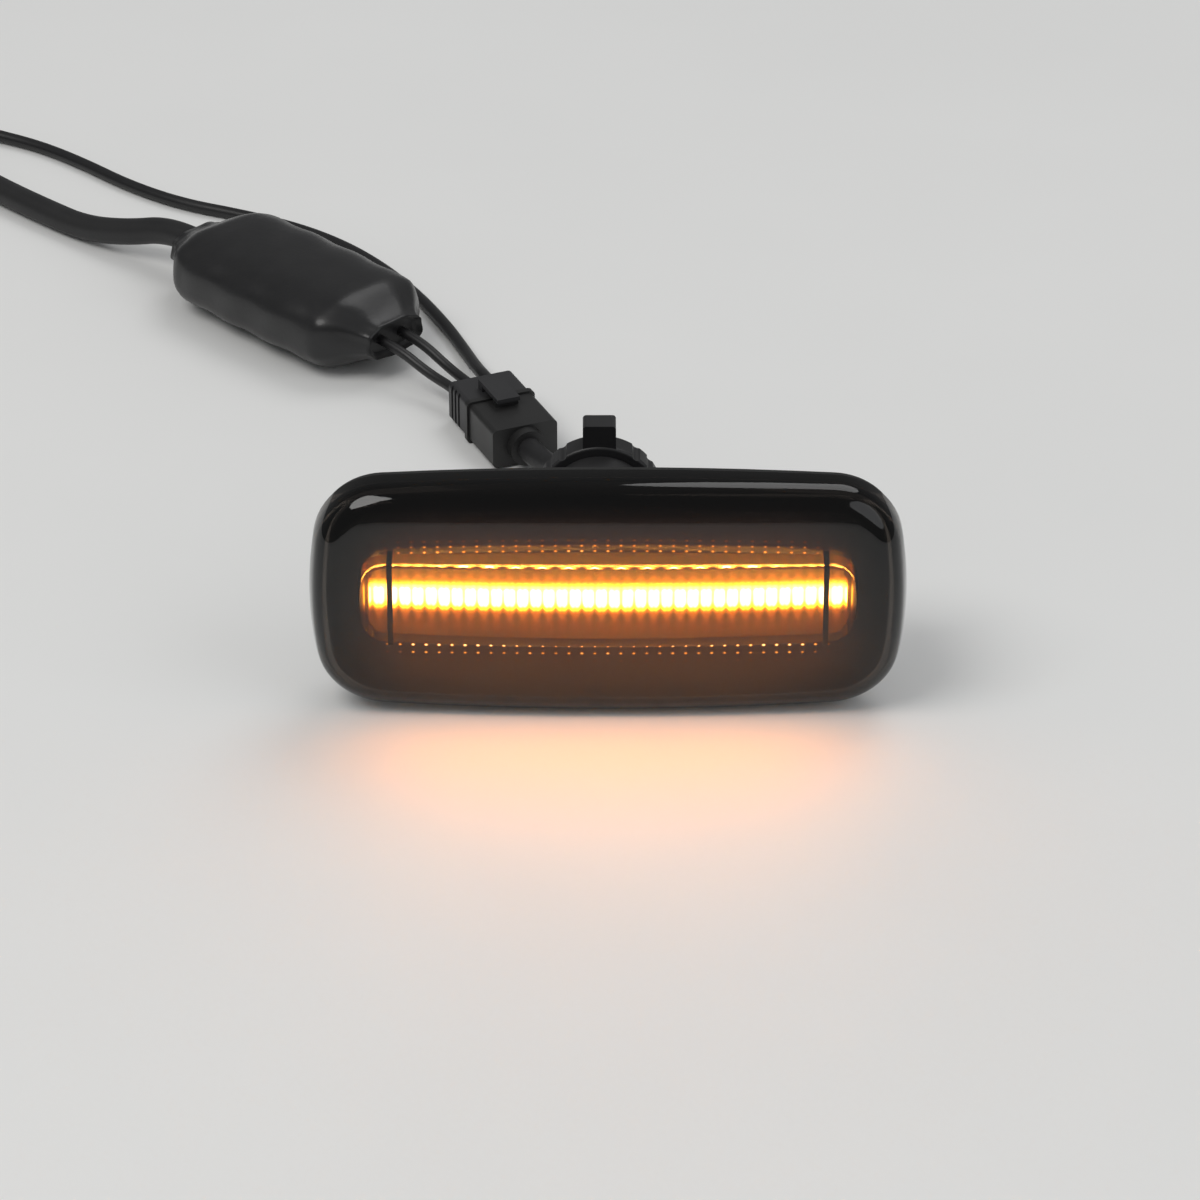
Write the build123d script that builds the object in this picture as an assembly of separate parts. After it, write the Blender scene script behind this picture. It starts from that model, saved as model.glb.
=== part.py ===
from build123d import *
import math
import os

# Side repeater lamp for a car's front wing, in millimetres.
# The lamp is drawn face up: local X along its length, local Y across it and local Z forward,
# out of the wing. The function upright then turns it so that it looks along -Y with +Z up.
# Local Z = 0 is the gasket's back face, which is the outer skin of the wing.
# The harness is drawn where it lies, on the table that the lamp stands on.

# Lamp outline
LAMP_LENGTH = 98.0
LAMP_HEIGHT = 42.8
LAMP_CORNER = 12.0
END_SAG = 3.0  # how far each end bulges beyond its corners
EDGE_SAG = 1.5  # how far the top and bottom edges bulge

# Lens
LENS_TOP = 12.5  # front of the crown
LENS_WALL = 2.4
SKIRT_WALL = 1.5  # thinner rim that hides the housing's flange
SKIRT_TOP = 4.9  # end of the straight skirt
LENS_DRAFT = 12.0  # degrees
LENS_ROUND = 4.5  # fillet between the skirt and the crown
CROWN_LONG = 600.0  # crown radius along the lamp
CROWN_TALL = 70.0  # crown radius across the lamp
CROWN_SPAN = 1.2  # the crown is drawn this much larger than the lamp, then cut
CROWN_ROOM = 1.0  # how far the drafted form runs past the crown before it is cut

# Gasket and housing
GASKET_THICK = 1.5
GASKET_INSET = 0.6  # from the lens's edge
GASKET_BEVEL = 0.3
FLANGE_THICK = 1.8
SKIRT_GAP = 0.4  # lens skirt above the gasket
FIT = 0.15  # clearance of a piece that slides into another
TUB_END_INSET = 6.0  # from the lamp's end
TUB_HEIGHT = 31.0
TUB_CORNER = 7.0
TUB_END_SAG = 2.0
TUB_EDGE_SAG = 1.0
TUB_WALL = 1.6
TUB_DEPTH = 8.0  # behind the wing's skin
TUB_DRAFT = 0.5  # degrees
TUB_EDGE = 1.2  # fillet round the tub's back
TUB_GAP = 0.3  # gasket to tub
WING_SKIN = 2.0  # wing edge that hook and clip grip
GRIP_GAP = 0.2  # hook's shoulder behind that edge

# Rear neck and cap
NECK_X = -1.4
NECK_OUTER = 9.0
NECK_BORE = 7.4
NECK_LENGTH = 17.5
GUSSETS = 6
GUSSET_THICK = 1.4
GUSSET_REACH = 4.2
GUSSET_RISE = 5.0
CAP_RADIUS = 10.6
CAP_THICK = 4.8
CAP_GAP = 0.2  # cap to neck end
CAP_RIBS = 20
CAP_RIB_DEPTH = 0.5
CAP_ROUND = 0.6
SPIGOT_GAP = 0.2
SPIGOT_LENGTH = 5.5
LUG_WIDTH = 5.6
LUG_HEIGHT = 3.8
HUB_RADIUS = 6.4
HUB_LENGTH = 2.0
RING_SECTION = 0.6  # O-ring, radius of its section
RING_PLAY = 0.05
RING_PLACE = 2.6  # from the cap's front to the middle of the O-ring

# LED board
BOARD_FRONT = 2.6
BOARD_THICK = 1.2
BOARD_END_PLAY = 0.8  # to the tub's wall
BOARD_EDGE_PLAY = 1.4
BOARD_CORNER = 5.0
LEDS = 18
LED_WIDTH = 2.8
LED_HEIGHT = 3.5
LED_THICK = 0.9
LED_WINDOW = 1.1  # radius of the cup in its face
LED_CUP = 0.25
LED_BEVEL = 0.15
SCREW_INSET = 10.6  # from the board's end
SCREW_Y = 10.4
SCREW_HEAD = 1.9
SCREW_HEAD_THICK = 1.2
SCREW_SHANK = 1.0
SCREW_LENGTH = 7.0
SCREW_FIT = 0.05
SCREW_HEAD_ROUND = 0.5
SCREW_RECESS = 0.9
POST_RADIUS = 2.3

# Light bar
BAR_HEIGHT = 14.8
BAR_CORNER = 4.0
BAR_END_SAG = 1.2
BAR_EDGE_SAG = 0.5
BAR_WALL = 1.0
BAR_SKIN = 1.3  # behind the flutes
BAR_FRONT = 8.6  # grooves between the flutes, at the middle
FLUTES = 38
FLUTE_RISE = 0.32
BAR_FOOT = 0.8
BAR_FOOT_THICK = 1.0

# Clips over the light bar
CLIP_INSET = 5.0  # from the light bar's end
CLIP_WIDTH = 0.9
CLIP_THICK = 0.4
CLIP_GAP = 0.07
CLIP_CORNER = 0.2

# Bezel
BEZEL_GAP = 0.35  # to the inside of the lens
BEZEL_WALL = 1.2
BEZEL_SKIN = 0.9
BEZEL_FLOOR = 4.9  # first step, beside the light bar
SLOT_GAP = 0.5
STEPS = 8
STEP_RISE = 0.36
STEP_RUN_TALL = 1.2
STEP_RUN_LONG = 0.46
STEP_CORNER = 0.7  # growth of the corner radius for each step
CLIP_NOTCH = 0.35

# Parts on the back of the board: inset from the board's end, y, length, height, thickness.
# An inset with a minus sign is from the -x end.
CHIP = (-24.6, 0.0, 9.9, 3.9, 1.6)
DIODE = (23.6, 3.5, 4.4, 2.6, 2.1)
RESISTOR_INSETS = (-6.6, -12.6, 16.1, 10.1)
RESISTOR_SIZE = (3.2, 1.6, 0.6)
CAPACITOR_RADIUS = 3.1
CAPACITOR_HEIGHT = 5.4
CAPACITOR_PLACE = (23.6, -4.5)
PIN_WIDTH = 0.4
PIN_PITCH = 1.27
PIN_REACH = 1.0
PIN_THICK = 0.2
CHIP_PINS = 7
CHIP_LIFT = 0.1
DIODE_BEVEL = 0.3
CAPACITOR_BASE = 0.4

# Short leads from the cap to the board
LEAD_RADIUS = 0.6
LEAD_SPREAD = 2.2
LEAD_BOARD_SPREAD = 3.0
LEAD_SHIFT = 3.0
LEAD_BOW = 2.0
LEAD_LOW = 0.3  # share of the rise before the first bend

# Fixed hook and spring clip
HOOK_WIDTH = 12.0
HOOK_REACH = 3.2
HOOK_DROP = 4.6
HOOK_LIP = 1.4
SPRING_WIDTH = 9.0
SPRING_THICK = 0.5
SPRING_KNEE = 3.6  # how far its knee stands out of the tub
SPRING_KNEE_BACK = 5.2
SPRING_TIP = 0.9
SPRING_ROOT = 15.5  # how far back the strip reaches
SPRING_BEND = 0.9
POCKET_WALL = 1.0
WEB_OVERLAP = 3.0  # web's run up the tub's end
POCKET_DEPTH = 5.0
POCKET_PLAY = 0.05
SPRING_STAND = 0.6  # strip's inner face outside the tub's end

# Table and harness
TABLE = -LAMP_HEIGHT / 2
GROMMET_LENGTH = 5.0
GROMMET_ROOT = 4.2
GROMMET_TIP = 3.2
GROMMET_RINGS = 3
GROMMET_GROOVE = 0.7
LAMP_CABLE = 2.25  # radii of the cords
STRAND = 0.95
BYPASS = 1.2
SLEEVE = 2.6

BLOCK_AT = (-14.0, 77.0)  # where the lamp cable enters the in-line connector
BLOCK_WAY = (-0.40, 0.9165)  # seen from above
BLOCK_WIDTH = 12.6
BLOCK_HEIGHT = 7.6
SOCKET_LENGTH = 12.5
SOCKET_NECK = 2.0
COLLAR = 0.8
SOCKET_WALL = 1.2
SOCKET_BACK = 3.0
PLUG_LENGTH = 8.5
NOSE_LENGTH = 9.0
GRIP_RIBS = 3
GRIP_PITCH = 1.6
GRIP_DEPTH = 0.8
BLOCK_ROUND = 1.0
STRAND_PITCH = 3.4
STRAND_SINK = 4.5  # how deep a strand goes into the plug and into the sleeve's gathered end
STRAND_PLAY = 0.05
LATCH_WIDTH = 4.4
LATCH_LENGTH = 5.0  # over the socket
LATCH_RISE = 0.9
LATCH_THICK = 0.8
CATCH_LENGTH = 1.6

MODULE_AT = (-39.2, 113.7)
MODULE_WAY = (-0.70, 0.7141)
MODULE_LENGTH = 57.0
MODULE_WIDTH = 28.0
MODULE_HEIGHT = 15.5
MODULE_PUFF = 0.15  # the sleeve's smooth form swells this much past its height
MODULE_END_WIDTH = 14.0
MODULE_END_HEIGHT = 7.0
MODULE_CORNER = 0.45  # corner radius as a share of the height
MODULE_SWELL = 0.86  # share of the swelling reached at each end of the circuit
MODULE_GATHER = 0.14  # share of the length that is gathered at each end
MODULE_WALL = 1.0
MODULE_BOARD_THICK = 1.6
MODULE_BOARD_PLAY = 0.35  # to the sleeve's rounded inner corners
MODULE_BOARD_END = 1.5  # from the end of the sleeve's hollow
BOARD_LIFT = 0.9  # board above the sleeve's inner floor
CHOKE_RADIUS = 3.6
CHOKE_LENGTH = 4.4
CHOKE_FLANGE = 1.2
CHOKE_PLACE = 9.0  # from the middle of the board
MODULE_CHIP = (6.0, 5.0, 1.6)
PORT_PITCH = 2.6  # each strand from the middle of the module's end

PLUG_AT = (-151.0, 226.0)  # where the leads enter the vehicle plug's boot
PLUG_WAY = (-0.80, 0.60)
VEHICLE_PLUG_LENGTH = 24.0
VEHICLE_PLUG_WIDTH = 15.0
VEHICLE_PLUG_HEIGHT = 11.0
BOOT_LENGTH = 5.0
BOOT_SINK = 3.0
BOOT_WIDTH = 11.2
BOOT_HEIGHT = 7.2
BOOT_FLANGE = 1.2
PLUG_BODY_LENGTH = 15.5
NOSE_STEP = 1.3
ARM_RISE = 1.4
SUPPLY_ASIDE = 2.2  # each lead from the middle of the boot
BYPASS_ASIDE = -3.7
TERMINALS = 3
TERMINAL_SINK = 0.6
TERMINAL_PITCH = 4.0
TERMINAL_WIDTH = 2.2
TERMINAL_THICK = 0.8
TERMINAL_LENGTH = 12.0
CAVITY_PLAY = 0.1
LOCK_THICK = 1.0
LOCK_LENGTH = 5.0
LOCK_REACH = 3.0

# Routes of the cords between their straight ends: x, y and height above the table
BEND_SHARE = 0.45  # share of the shorter run that a bend takes up
CABLE_OUT = 9.0  # straight run at each end
STRAND_OUT = 3.0
BYPASS_OUT = 5.0
SUPPLY_OUT = 8.0
CABLE_ROUTE = [(-2.8, 55.0, 15.7), (-5.9, 61.9, 8.6)]
FRONT_STRAND_ROUTE = [(-33.0, 105.2, 4.8)]
BACK_STRAND_ROUTE = [(-29.0, 107.6, 4.4)]
BYPASS_ROUTE = [
    (-24.6, 112.6, 2.6),
    (-27.2, 122.6, 1.25),
    (-30.6, 132.0, 1.25),
    (-36.4, 144.6, 1.25),
    (-43.6, 156.6, 1.25),
    (-51.6, 166.4, 1.25),
    (-61.0, 174.2, 1.25),
    (-72.4, 180.2, 1.25),
    (-84.6, 185.4, 1.25),
    (-96.0, 194.0, 1.25),
    (-105.6, 204.0, 1.25),
    (-115.4, 212.6, 1.25),
    (-126.4, 218.4, 1.5),
    (-137.2, 222.0, 3.2),
]
SUPPLY_ROUTE = [
    (-93.6, 164.8, 4.9),
    (-102.4, 171.2, 2.65),
    (-110.8, 178.8, 2.65),
    (-119.0, 186.8, 2.65),
    (-127.0, 195.4, 2.65),
    (-134.0, 204.8, 2.9),
    (-140.4, 213.6, 4.3),
]

# Values that follow from the ones above
TUB_LENGTH = LAMP_LENGTH - 2 * TUB_END_INSET
BOARD_LENGTH = TUB_LENGTH - 2 * (TUB_WALL + BOARD_END_PLAY)
BOARD_HEIGHT = TUB_HEIGHT - 2 * (TUB_WALL + BOARD_EDGE_PLAY)
SCREW_X = BOARD_LENGTH / 2 - SCREW_INSET
BAR_LENGTH = BOARD_LENGTH
CLIP_X = BAR_LENGTH / 2 - CLIP_INSET
FLANGE_BACK = GASKET_THICK
FLANGE_FRONT = FLANGE_BACK + FLANGE_THICK
FLANGE_INSET = SKIRT_WALL + FIT
NECK_END = -TUB_DEPTH - NECK_LENGTH
CAP_FRONT = NECK_END - CAP_GAP
CAP_BACK = CAP_FRONT - CAP_THICK
HUB_BACK = CAP_BACK - HUB_LENGTH
BOARD_BACK = BOARD_FRONT - BOARD_THICK
FLUTE_PITCH = BAR_LENGTH / FLUTES
LED_PITCH = 2 * FLUTE_PITCH
BAR_CROWN = CROWN_LONG - (LENS_TOP - BAR_FRONT)
BLOCK_LEVEL = TABLE + (BLOCK_HEIGHT + COLLAR) / 2
BLOCK_END = SOCKET_NECK + SOCKET_LENGTH + PLUG_LENGTH
MODULE_LEVEL = TABLE + MODULE_HEIGHT / 2 + MODULE_PUFF
PLUG_LEVEL = TABLE + VEHICLE_PLUG_HEIGHT / 2

os.makedirs("parts", exist_ok=True)


def save(shape, name):
    """Write one piece of the lamp or its harness."""
    export_step(shape, f"parts/{name}.step")


def upright(shape):
    """Turn a piece drawn face up so that it faces -Y and stands on its long edge."""
    return Rot(90, 0, 0) * shape


def arc_radius(half_chord, sag):
    return (half_chord**2 + sag**2) / (2 * sag)


def crossing(low, side):
    """Where two circles, each a centre on an axis and a radius, cross in the first quadrant."""
    (a, reach_a), (b, reach_b) = low, side
    apart = math.hypot(a, b)
    along = (apart**2 + reach_a**2 - reach_b**2) / (2 * apart)
    off = math.sqrt(reach_a**2 - along**2)
    sign = 1 if b * off < -a * along else -1
    x = (b * along - sign * a * off) / apart
    y = a + (-a * along - sign * b * off) / apart
    return abs(x), abs(y)


def oblong(length, height, corner, end_sag, edge_sag, inset=0.0):
    """Outline of four shallow arcs that meet at rounded corners, drawn in by inset."""
    end, edge = length / 2, height / 2
    edge_arc = arc_radius(end - end_sag, edge_sag)
    end_arc = arc_radius(edge - edge_sag, end_sag)
    x, y = crossing((edge - edge_arc, edge_arc - inset), (end - end_arc, end_arc - inset))
    end, edge = end - inset, edge - inset
    with BuildSketch() as sketch:
        with BuildLine():
            ThreePointArc((-x, y), (0, edge), (x, y))
            ThreePointArc((x, y), (end, 0), (x, -y))
            ThreePointArc((x, -y), (0, -edge), (-x, -y))
            ThreePointArc((-x, -y), (-end, 0), (-x, y))
        make_face()
        fillet(sketch.vertices(), corner - inset)
    return sketch.sketch


def slab(sketch, low, high):
    """Extrude an outline between two levels."""
    return extrude(Pos(0, 0, low) * sketch, high - low)


def drafted(outline, low, high, draft, inset=0.0):
    """A form between two levels whose wall leans inwards by draft degrees as it leaves low."""
    lean = abs(high - low) * math.tan(math.radians(draft))
    return loft([Pos(0, 0, low) * outline(inset), Pos(0, 0, high) * outline(inset + lean)], ruled=True)


def lamp_outline(inset=0.0):
    return oblong(LAMP_LENGTH, LAMP_HEIGHT, LAMP_CORNER, END_SAG, EDGE_SAG, inset)


def tub_outline(inset=0.0):
    return oblong(TUB_LENGTH, TUB_HEIGHT, TUB_CORNER, TUB_END_SAG, TUB_EDGE_SAG, inset)


def crown(inset):
    """Everything under the lens's double-curved front, lowered by inset."""
    top = LENS_TOP - inset
    tall, half = CROWN_TALL - inset, CROWN_SPAN * LAMP_HEIGHT / 2
    edge = top - tall + math.sqrt(tall**2 - half**2)
    angle = math.degrees(CROWN_SPAN * LAMP_LENGTH / CROWN_LONG)
    with BuildSketch(Plane.YZ) as profile:
        with BuildLine():
            ThreePointArc((-half, edge), (0, top), (half, edge))
            Polyline((half, edge), (half, -LENS_TOP), (-half, -LENS_TOP), (-half, edge))
        make_face()
    hinge = Axis((0, 0, LENS_TOP - CROWN_LONG), (0, 1, 0))
    return revolve(profile.sketch.rotate(hinge, -angle / 2), hinge, angle)


def dome(inset, base):
    """The lens's form, drawn in by inset all round, from the level base up."""
    body = slab(lamp_outline(inset), base, SKIRT_TOP)
    body += drafted(lamp_outline, SKIRT_TOP, LENS_TOP + CROWN_ROOM, LENS_DRAFT, inset)
    body = body & crown(inset)
    return fillet(body.faces().sort_by(Axis.Z)[-1].edges(), LENS_ROUND - inset)


def make_lens():
    base = GASKET_THICK + SKIRT_GAP
    hollow = dome(LENS_WALL, FLANGE_FRONT) + slab(lamp_outline(SKIRT_WALL), base, FLANGE_FRONT)
    return dome(0.0, base) - hollow


def make_gasket():
    ring = slab(lamp_outline(GASKET_INSET), 0, GASKET_THICK)
    ring -= slab(tub_outline(-TUB_GAP), 0, GASKET_THICK)
    rim = ring.faces().sort_by(Axis.Z)[-1].outer_wire().edges()
    return chamfer(rim, GASKET_BEVEL)


def bar_outline(inset=0.0):
    return oblong(BAR_LENGTH, BAR_HEIGHT, BAR_CORNER, BAR_END_SAG, BAR_EDGE_SAG, inset)


def bar_front(x):
    """Level of the light bar's front, in the grooves between the flutes."""
    return BAR_FRONT - BAR_CROWN + math.sqrt(BAR_CROWN**2 - x**2)


def make_light_bar():
    """A hollow bar with a fluted front that follows the lens, and a foot along each long edge."""
    cusps = [(i - FLUTES / 2) * FLUTE_PITCH for i in range(FLUTES + 1)]
    half = BAR_LENGTH / 2
    with BuildSketch(Plane.XZ) as fluted:
        with BuildLine():
            for left, right in zip(cusps, cusps[1:]):
                middle = (left + right) / 2
                crest = (middle, bar_front(middle) + FLUTE_RISE)
                ThreePointArc((left, bar_front(left)), crest, (right, bar_front(right)))
            edge = bar_front(half)
            Polyline((half, edge), (half, BOARD_FRONT), (-half, BOARD_FRONT), (-half, edge))
        make_face()
    body = extrude(fluted.sketch, BAR_HEIGHT, both=True) & slab(bar_outline(), BOARD_FRONT, LENS_TOP)
    with BuildSketch(Plane.XZ) as inside:
        with BuildLine():
            low = bar_front(half) - BAR_SKIN
            ThreePointArc((-half, low), (0, BAR_FRONT - BAR_SKIN), (half, low))
            Polyline((half, low), (half, BOARD_FRONT), (-half, BOARD_FRONT), (-half, low))
        make_face()
    hollow = extrude(inside.sketch, BAR_HEIGHT, both=True)
    hollow &= slab(bar_outline(BAR_WALL), BOARD_FRONT, LENS_TOP)
    foot = oblong(BAR_LENGTH, BAR_HEIGHT + 2 * BAR_FOOT, BAR_CORNER, BAR_END_SAG, BAR_EDGE_SAG)
    return body + slab(foot, BOARD_FRONT, BOARD_FRONT + BAR_FOOT_THICK) - hollow


def make_clip(side):
    """A thin strap over the light bar, with a leg and a turned toe behind each edge."""
    front = bar_front(CLIP_X) + FLUTE_RISE + CLIP_GAP
    inner = BAR_HEIGHT / 2 - BAR_EDGE_SAG * (CLIP_X / (BAR_LENGTH / 2)) ** 2 + CLIP_GAP
    toe = BOARD_FRONT + BAR_FOOT_THICK + CLIP_GAP
    outer, top = inner + CLIP_THICK, front + CLIP_THICK
    with BuildSketch(Plane.YZ) as strap:
        with BuildLine():
            inside = FilletPolyline(
                (-inner, toe), (-inner, front), (inner, front), (inner, toe), radius=CLIP_CORNER
            )
            outside = FilletPolyline(
                (-outer, toe), (-outer, top), (outer, top), (outer, toe), radius=CLIP_CORNER + CLIP_THICK
            )
            Line(inside @ 0, outside @ 0)
            Line(inside @ 1, outside @ 1)
        make_face()
    return Pos(side * CLIP_X, 0, 0) * extrude(strap.sketch, CLIP_WIDTH / 2, both=True)


def step_outline(step, inset=0.0):
    """Opening in the bezel at one step, counted from the slot outwards."""
    length = BAR_LENGTH + 2 * (SLOT_GAP + step * STEP_RUN_LONG)
    height = BAR_HEIGHT + 2 * (SLOT_GAP + step * STEP_RUN_TALL)
    return oblong(length, height, BAR_CORNER + step * STEP_CORNER, BAR_END_SAG, BAR_EDGE_SAG, inset)


def make_bezel():
    """A dish of thin steps that climbs from the light bar's slot to the inside of the lens."""
    inset = LENS_WALL + BEZEL_GAP
    room = dome(inset, FLANGE_FRONT)
    wall = room - slab(lamp_outline(inset + BEZEL_WALL), FLANGE_FRONT, LENS_TOP)
    rim = BEZEL_FLOOR + (STEPS - 1) * STEP_RISE
    dish = wall & slab(lamp_outline(inset), FLANGE_FRONT, rim)
    for step in range(STEPS):
        level = BEZEL_FLOOR + step * STEP_RISE
        last = step == STEPS - 1
        reach = lamp_outline(inset) if last else step_outline(step + 1, -BEZEL_SKIN)
        ring = slab(reach, level - BEZEL_SKIN, level) - slab(step_outline(step), level - BEZEL_SKIN, level)
        dish += ring & room
    notch_low = BAR_HEIGHT / 2 + SLOT_GAP + CLIP_NOTCH
    for side in (-1, 1):
        dish -= Pos(side * CLIP_X, 0, BEZEL_FLOOR) * Box(2 * CLIP_WIDTH, 2 * notch_low, 3 * BEZEL_SKIN)
    return dish


def make_board():
    outline = oblong(BOARD_LENGTH, BOARD_HEIGHT, BOARD_CORNER, BAR_END_SAG, BAR_EDGE_SAG)
    board = slab(outline, BOARD_BACK, BOARD_FRONT)
    for x, y in screw_places():
        board -= Pos(x, y, BOARD_BACK) * Cylinder(SCREW_SHANK + SCREW_FIT, 2 * SCREW_LENGTH)
    return board


def screw_places():
    return [(x, y) for x in (-SCREW_X, SCREW_X) for y in (-SCREW_Y, SCREW_Y)]


def make_led():
    """One amber LED package with a shallow cup in its face, standing on the level 0."""
    body = Pos(0, 0, LED_THICK / 2) * Box(LED_WIDTH, LED_HEIGHT, LED_THICK)
    body = chamfer(body.edges().group_by(Axis.Z)[-1], LED_BEVEL)
    return body - Pos(0, 0, LED_THICK) * Cone(LED_WINDOW - LED_CUP, LED_WINDOW, 2 * LED_CUP)


def make_screws():
    screws = []
    for x, y in screw_places():
        head = Pos(x, y, BOARD_FRONT) * extrude(Circle(SCREW_HEAD), SCREW_HEAD_THICK)
        head = fillet(head.edges().group_by(Axis.Z)[-1], SCREW_HEAD_ROUND)
        cross = Box(2 * SCREW_RECESS, SCREW_RECESS / 2, SCREW_RECESS)
        cross += Box(SCREW_RECESS / 2, 2 * SCREW_RECESS, SCREW_RECESS)
        slot = Pos(x, y, BOARD_FRONT + SCREW_HEAD_THICK) * cross
        shank = Pos(x, y, BOARD_FRONT) * extrude(Circle(SCREW_SHANK), -SCREW_LENGTH)
        screws.append(head + shank - slot)
    return Part() + screws


def on_back(x, y, part):
    """Turn a part that stands on level 0 so that it hangs from the board's back."""
    return Pos(x, y, BOARD_BACK) * Rot(180, 0, 0) * part


def from_end(inset):
    """X of a spot this far in from the board's end, from its -x end for a minus sign."""
    return math.copysign(BOARD_LENGTH / 2, inset) - inset


def make_chip():
    inset, y, length, height, thick = CHIP
    x = from_end(inset)
    chip = Pos(0, 0, CHIP_LIFT + thick / 2) * Box(length, height, thick)
    for side in (-1, 1):
        for i in range(CHIP_PINS):
            place = Pos((i - (CHIP_PINS - 1) / 2) * PIN_PITCH, side * height / 2, 0)
            chip += place * Pos(0, side * PIN_REACH / 2, PIN_THICK / 2) * Box(PIN_WIDTH, PIN_REACH, PIN_THICK)
            chip += place * Pos(0, side * PIN_THICK / 2, thick / 2) * Box(PIN_WIDTH, 3 * PIN_THICK, thick)
    return on_back(x, y, chip)


def make_diode():
    inset, y, length, height, thick = DIODE
    x = from_end(inset)
    body = Pos(0, 0, thick / 2) * Box(length, height, thick)
    body = chamfer(body.edges().group_by(Axis.Z)[-1], DIODE_BEVEL)
    tab = Pos(0, 0, PIN_THICK / 2) * Box(length + PIN_REACH, height / 2, PIN_THICK)
    return on_back(x, y, body + tab)


def make_resistors():
    length, height, thick = RESISTOR_SIZE
    row = [on_back(x, 0, Pos(0, 0, thick / 2) * Box(length, height, thick)) for x in map(from_end, RESISTOR_INSETS)]
    return Part() + row


def make_capacitor():
    inset, y = CAPACITOR_PLACE
    x = from_end(inset)
    base_edge = CAPACITOR_RADIUS * 2 + CAPACITOR_BASE
    base = Pos(0, 0, CAPACITOR_BASE) * Box(base_edge, base_edge, 2 * CAPACITOR_BASE)
    can = extrude(Circle(CAPACITOR_RADIUS), CAPACITOR_HEIGHT)
    can = fillet(can.edges().group_by(Axis.Z)[-1], CAPACITOR_BASE)
    return on_back(x, y, base + can)


def make_housing():
    """Flange, tub, board posts, rear neck with its gussets, fixed hook and the spring's pocket."""
    flange = slab(lamp_outline(FLANGE_INSET), FLANGE_BACK, FLANGE_FRONT)
    tub = drafted(tub_outline, FLANGE_BACK, -TUB_DEPTH, TUB_DRAFT)
    tub = fillet(tub.edges().group_by(Axis.Z)[0], TUB_EDGE)
    hollow = drafted(tub_outline, FLANGE_FRONT, TUB_WALL - TUB_DEPTH, TUB_DRAFT, TUB_WALL)
    neck = Pos(NECK_X, 0, NECK_END) * extrude(Circle(NECK_OUTER), NECK_LENGTH + TUB_WALL / 2)
    body = flange + tub + neck
    gusset = extrude(
        Plane.XZ
        * make_face(
            Polyline(
                (NECK_OUTER - GUSSET_THICK, -TUB_DEPTH - GUSSET_RISE),
                (NECK_OUTER, -TUB_DEPTH - GUSSET_RISE),
                (NECK_OUTER + GUSSET_REACH, -TUB_DEPTH + TUB_WALL / 2),
                (NECK_OUTER - GUSSET_THICK, -TUB_DEPTH + TUB_WALL / 2),
                close=True,
            )
        ),
        GUSSET_THICK / 2,
        both=True,
    )
    for i in range(GUSSETS):
        body += Pos(NECK_X, 0, 0) * Rot(0, 0, 360 / GUSSETS * i) * gusset
    body += make_hook() + make_pocket()
    body -= hollow
    body -= Pos(NECK_X, 0, NECK_END) * extrude(Circle(NECK_BORE), NECK_LENGTH + 2 * TUB_WALL)
    floor = TUB_WALL / 2 - TUB_DEPTH
    for x, y in screw_places():
        post = Pos(x, y, floor) * extrude(Circle(POST_RADIUS), BOARD_BACK - floor)
        deep = SCREW_LENGTH - BOARD_THICK + SCREW_SHANK
        body += post
        body -= Pos(x, y, BOARD_BACK) * extrude(Circle(SCREW_SHANK + SCREW_FIT), -deep)
    return body


def make_hook():
    """Fixed hook at the lamp's left end, which goes behind the wing first."""
    shoulder = -WING_SKIN - GRIP_GAP
    wall = TUB_LENGTH / 2 - TUB_WALL / 2
    out = TUB_LENGTH / 2 + HOOK_REACH
    profile = Plane.XZ * make_face(
        Polyline(
            (-wall + TUB_END_SAG, shoulder),
            (-out, shoulder),
            (-out, shoulder - HOOK_LIP),
            (-wall, shoulder - HOOK_DROP),
            (-wall + TUB_END_SAG, shoulder - HOOK_DROP),
            close=True,
        )
    )
    return extrude(profile, HOOK_WIDTH / 2, both=True)


def spring_face():
    """Where the spring clip lies against the tub's right end, measured along the lamp."""
    return TUB_LENGTH / 2 + SPRING_STAND


def make_pocket():
    """Web behind the tub's right end, with the slotted boss that holds the spring clip's root."""
    wall = TUB_LENGTH / 2 - TUB_WALL
    out = spring_face() + SPRING_THICK + POCKET_WALL
    high = -SPRING_ROOT + POCKET_DEPTH
    low = -SPRING_ROOT - POCKET_WALL
    width = SPRING_WIDTH + 2 * POCKET_WALL
    block = Pos((wall + out) / 2, 0, (high + low) / 2) * Box(out - wall, width, high - low)
    web_top = -TUB_DEPTH + WEB_OVERLAP
    web = Pos((wall + spring_face()) / 2, 0, (web_top + low) / 2) * Box(
        spring_face() - wall - POCKET_PLAY, width, web_top - low
    )
    slot = Pos(spring_face() + SPRING_THICK / 2, 0, high - POCKET_DEPTH / 2) * Box(
        SPRING_THICK + 2 * POCKET_PLAY, SPRING_WIDTH + 2 * POCKET_PLAY, POCKET_DEPTH
    )
    return block + web - slot


def make_spring():
    """Sprung strip: root in the pocket, knee behind the wing's edge, tip turned in."""
    face = spring_face()
    shoulder = -WING_SKIN - GRIP_GAP
    route = FilletPolyline(
        (face + SPRING_THICK / 2, -SPRING_ROOT),
        (face + SPRING_THICK / 2, -SPRING_ROOT + POCKET_DEPTH + SPRING_BEND),
        (face + SPRING_KNEE, shoulder - SPRING_KNEE_BACK + SPRING_BEND),
        (face + SPRING_THICK / 2, shoulder - SPRING_TIP),
        radius=SPRING_BEND,
    )
    path = Plane.XZ * route
    section = Plane(origin=path @ 0, x_dir=(0, 1, 0), z_dir=path % 0) * Rectangle(SPRING_WIDTH, SPRING_THICK)
    return sweep(section, path=path)


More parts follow.
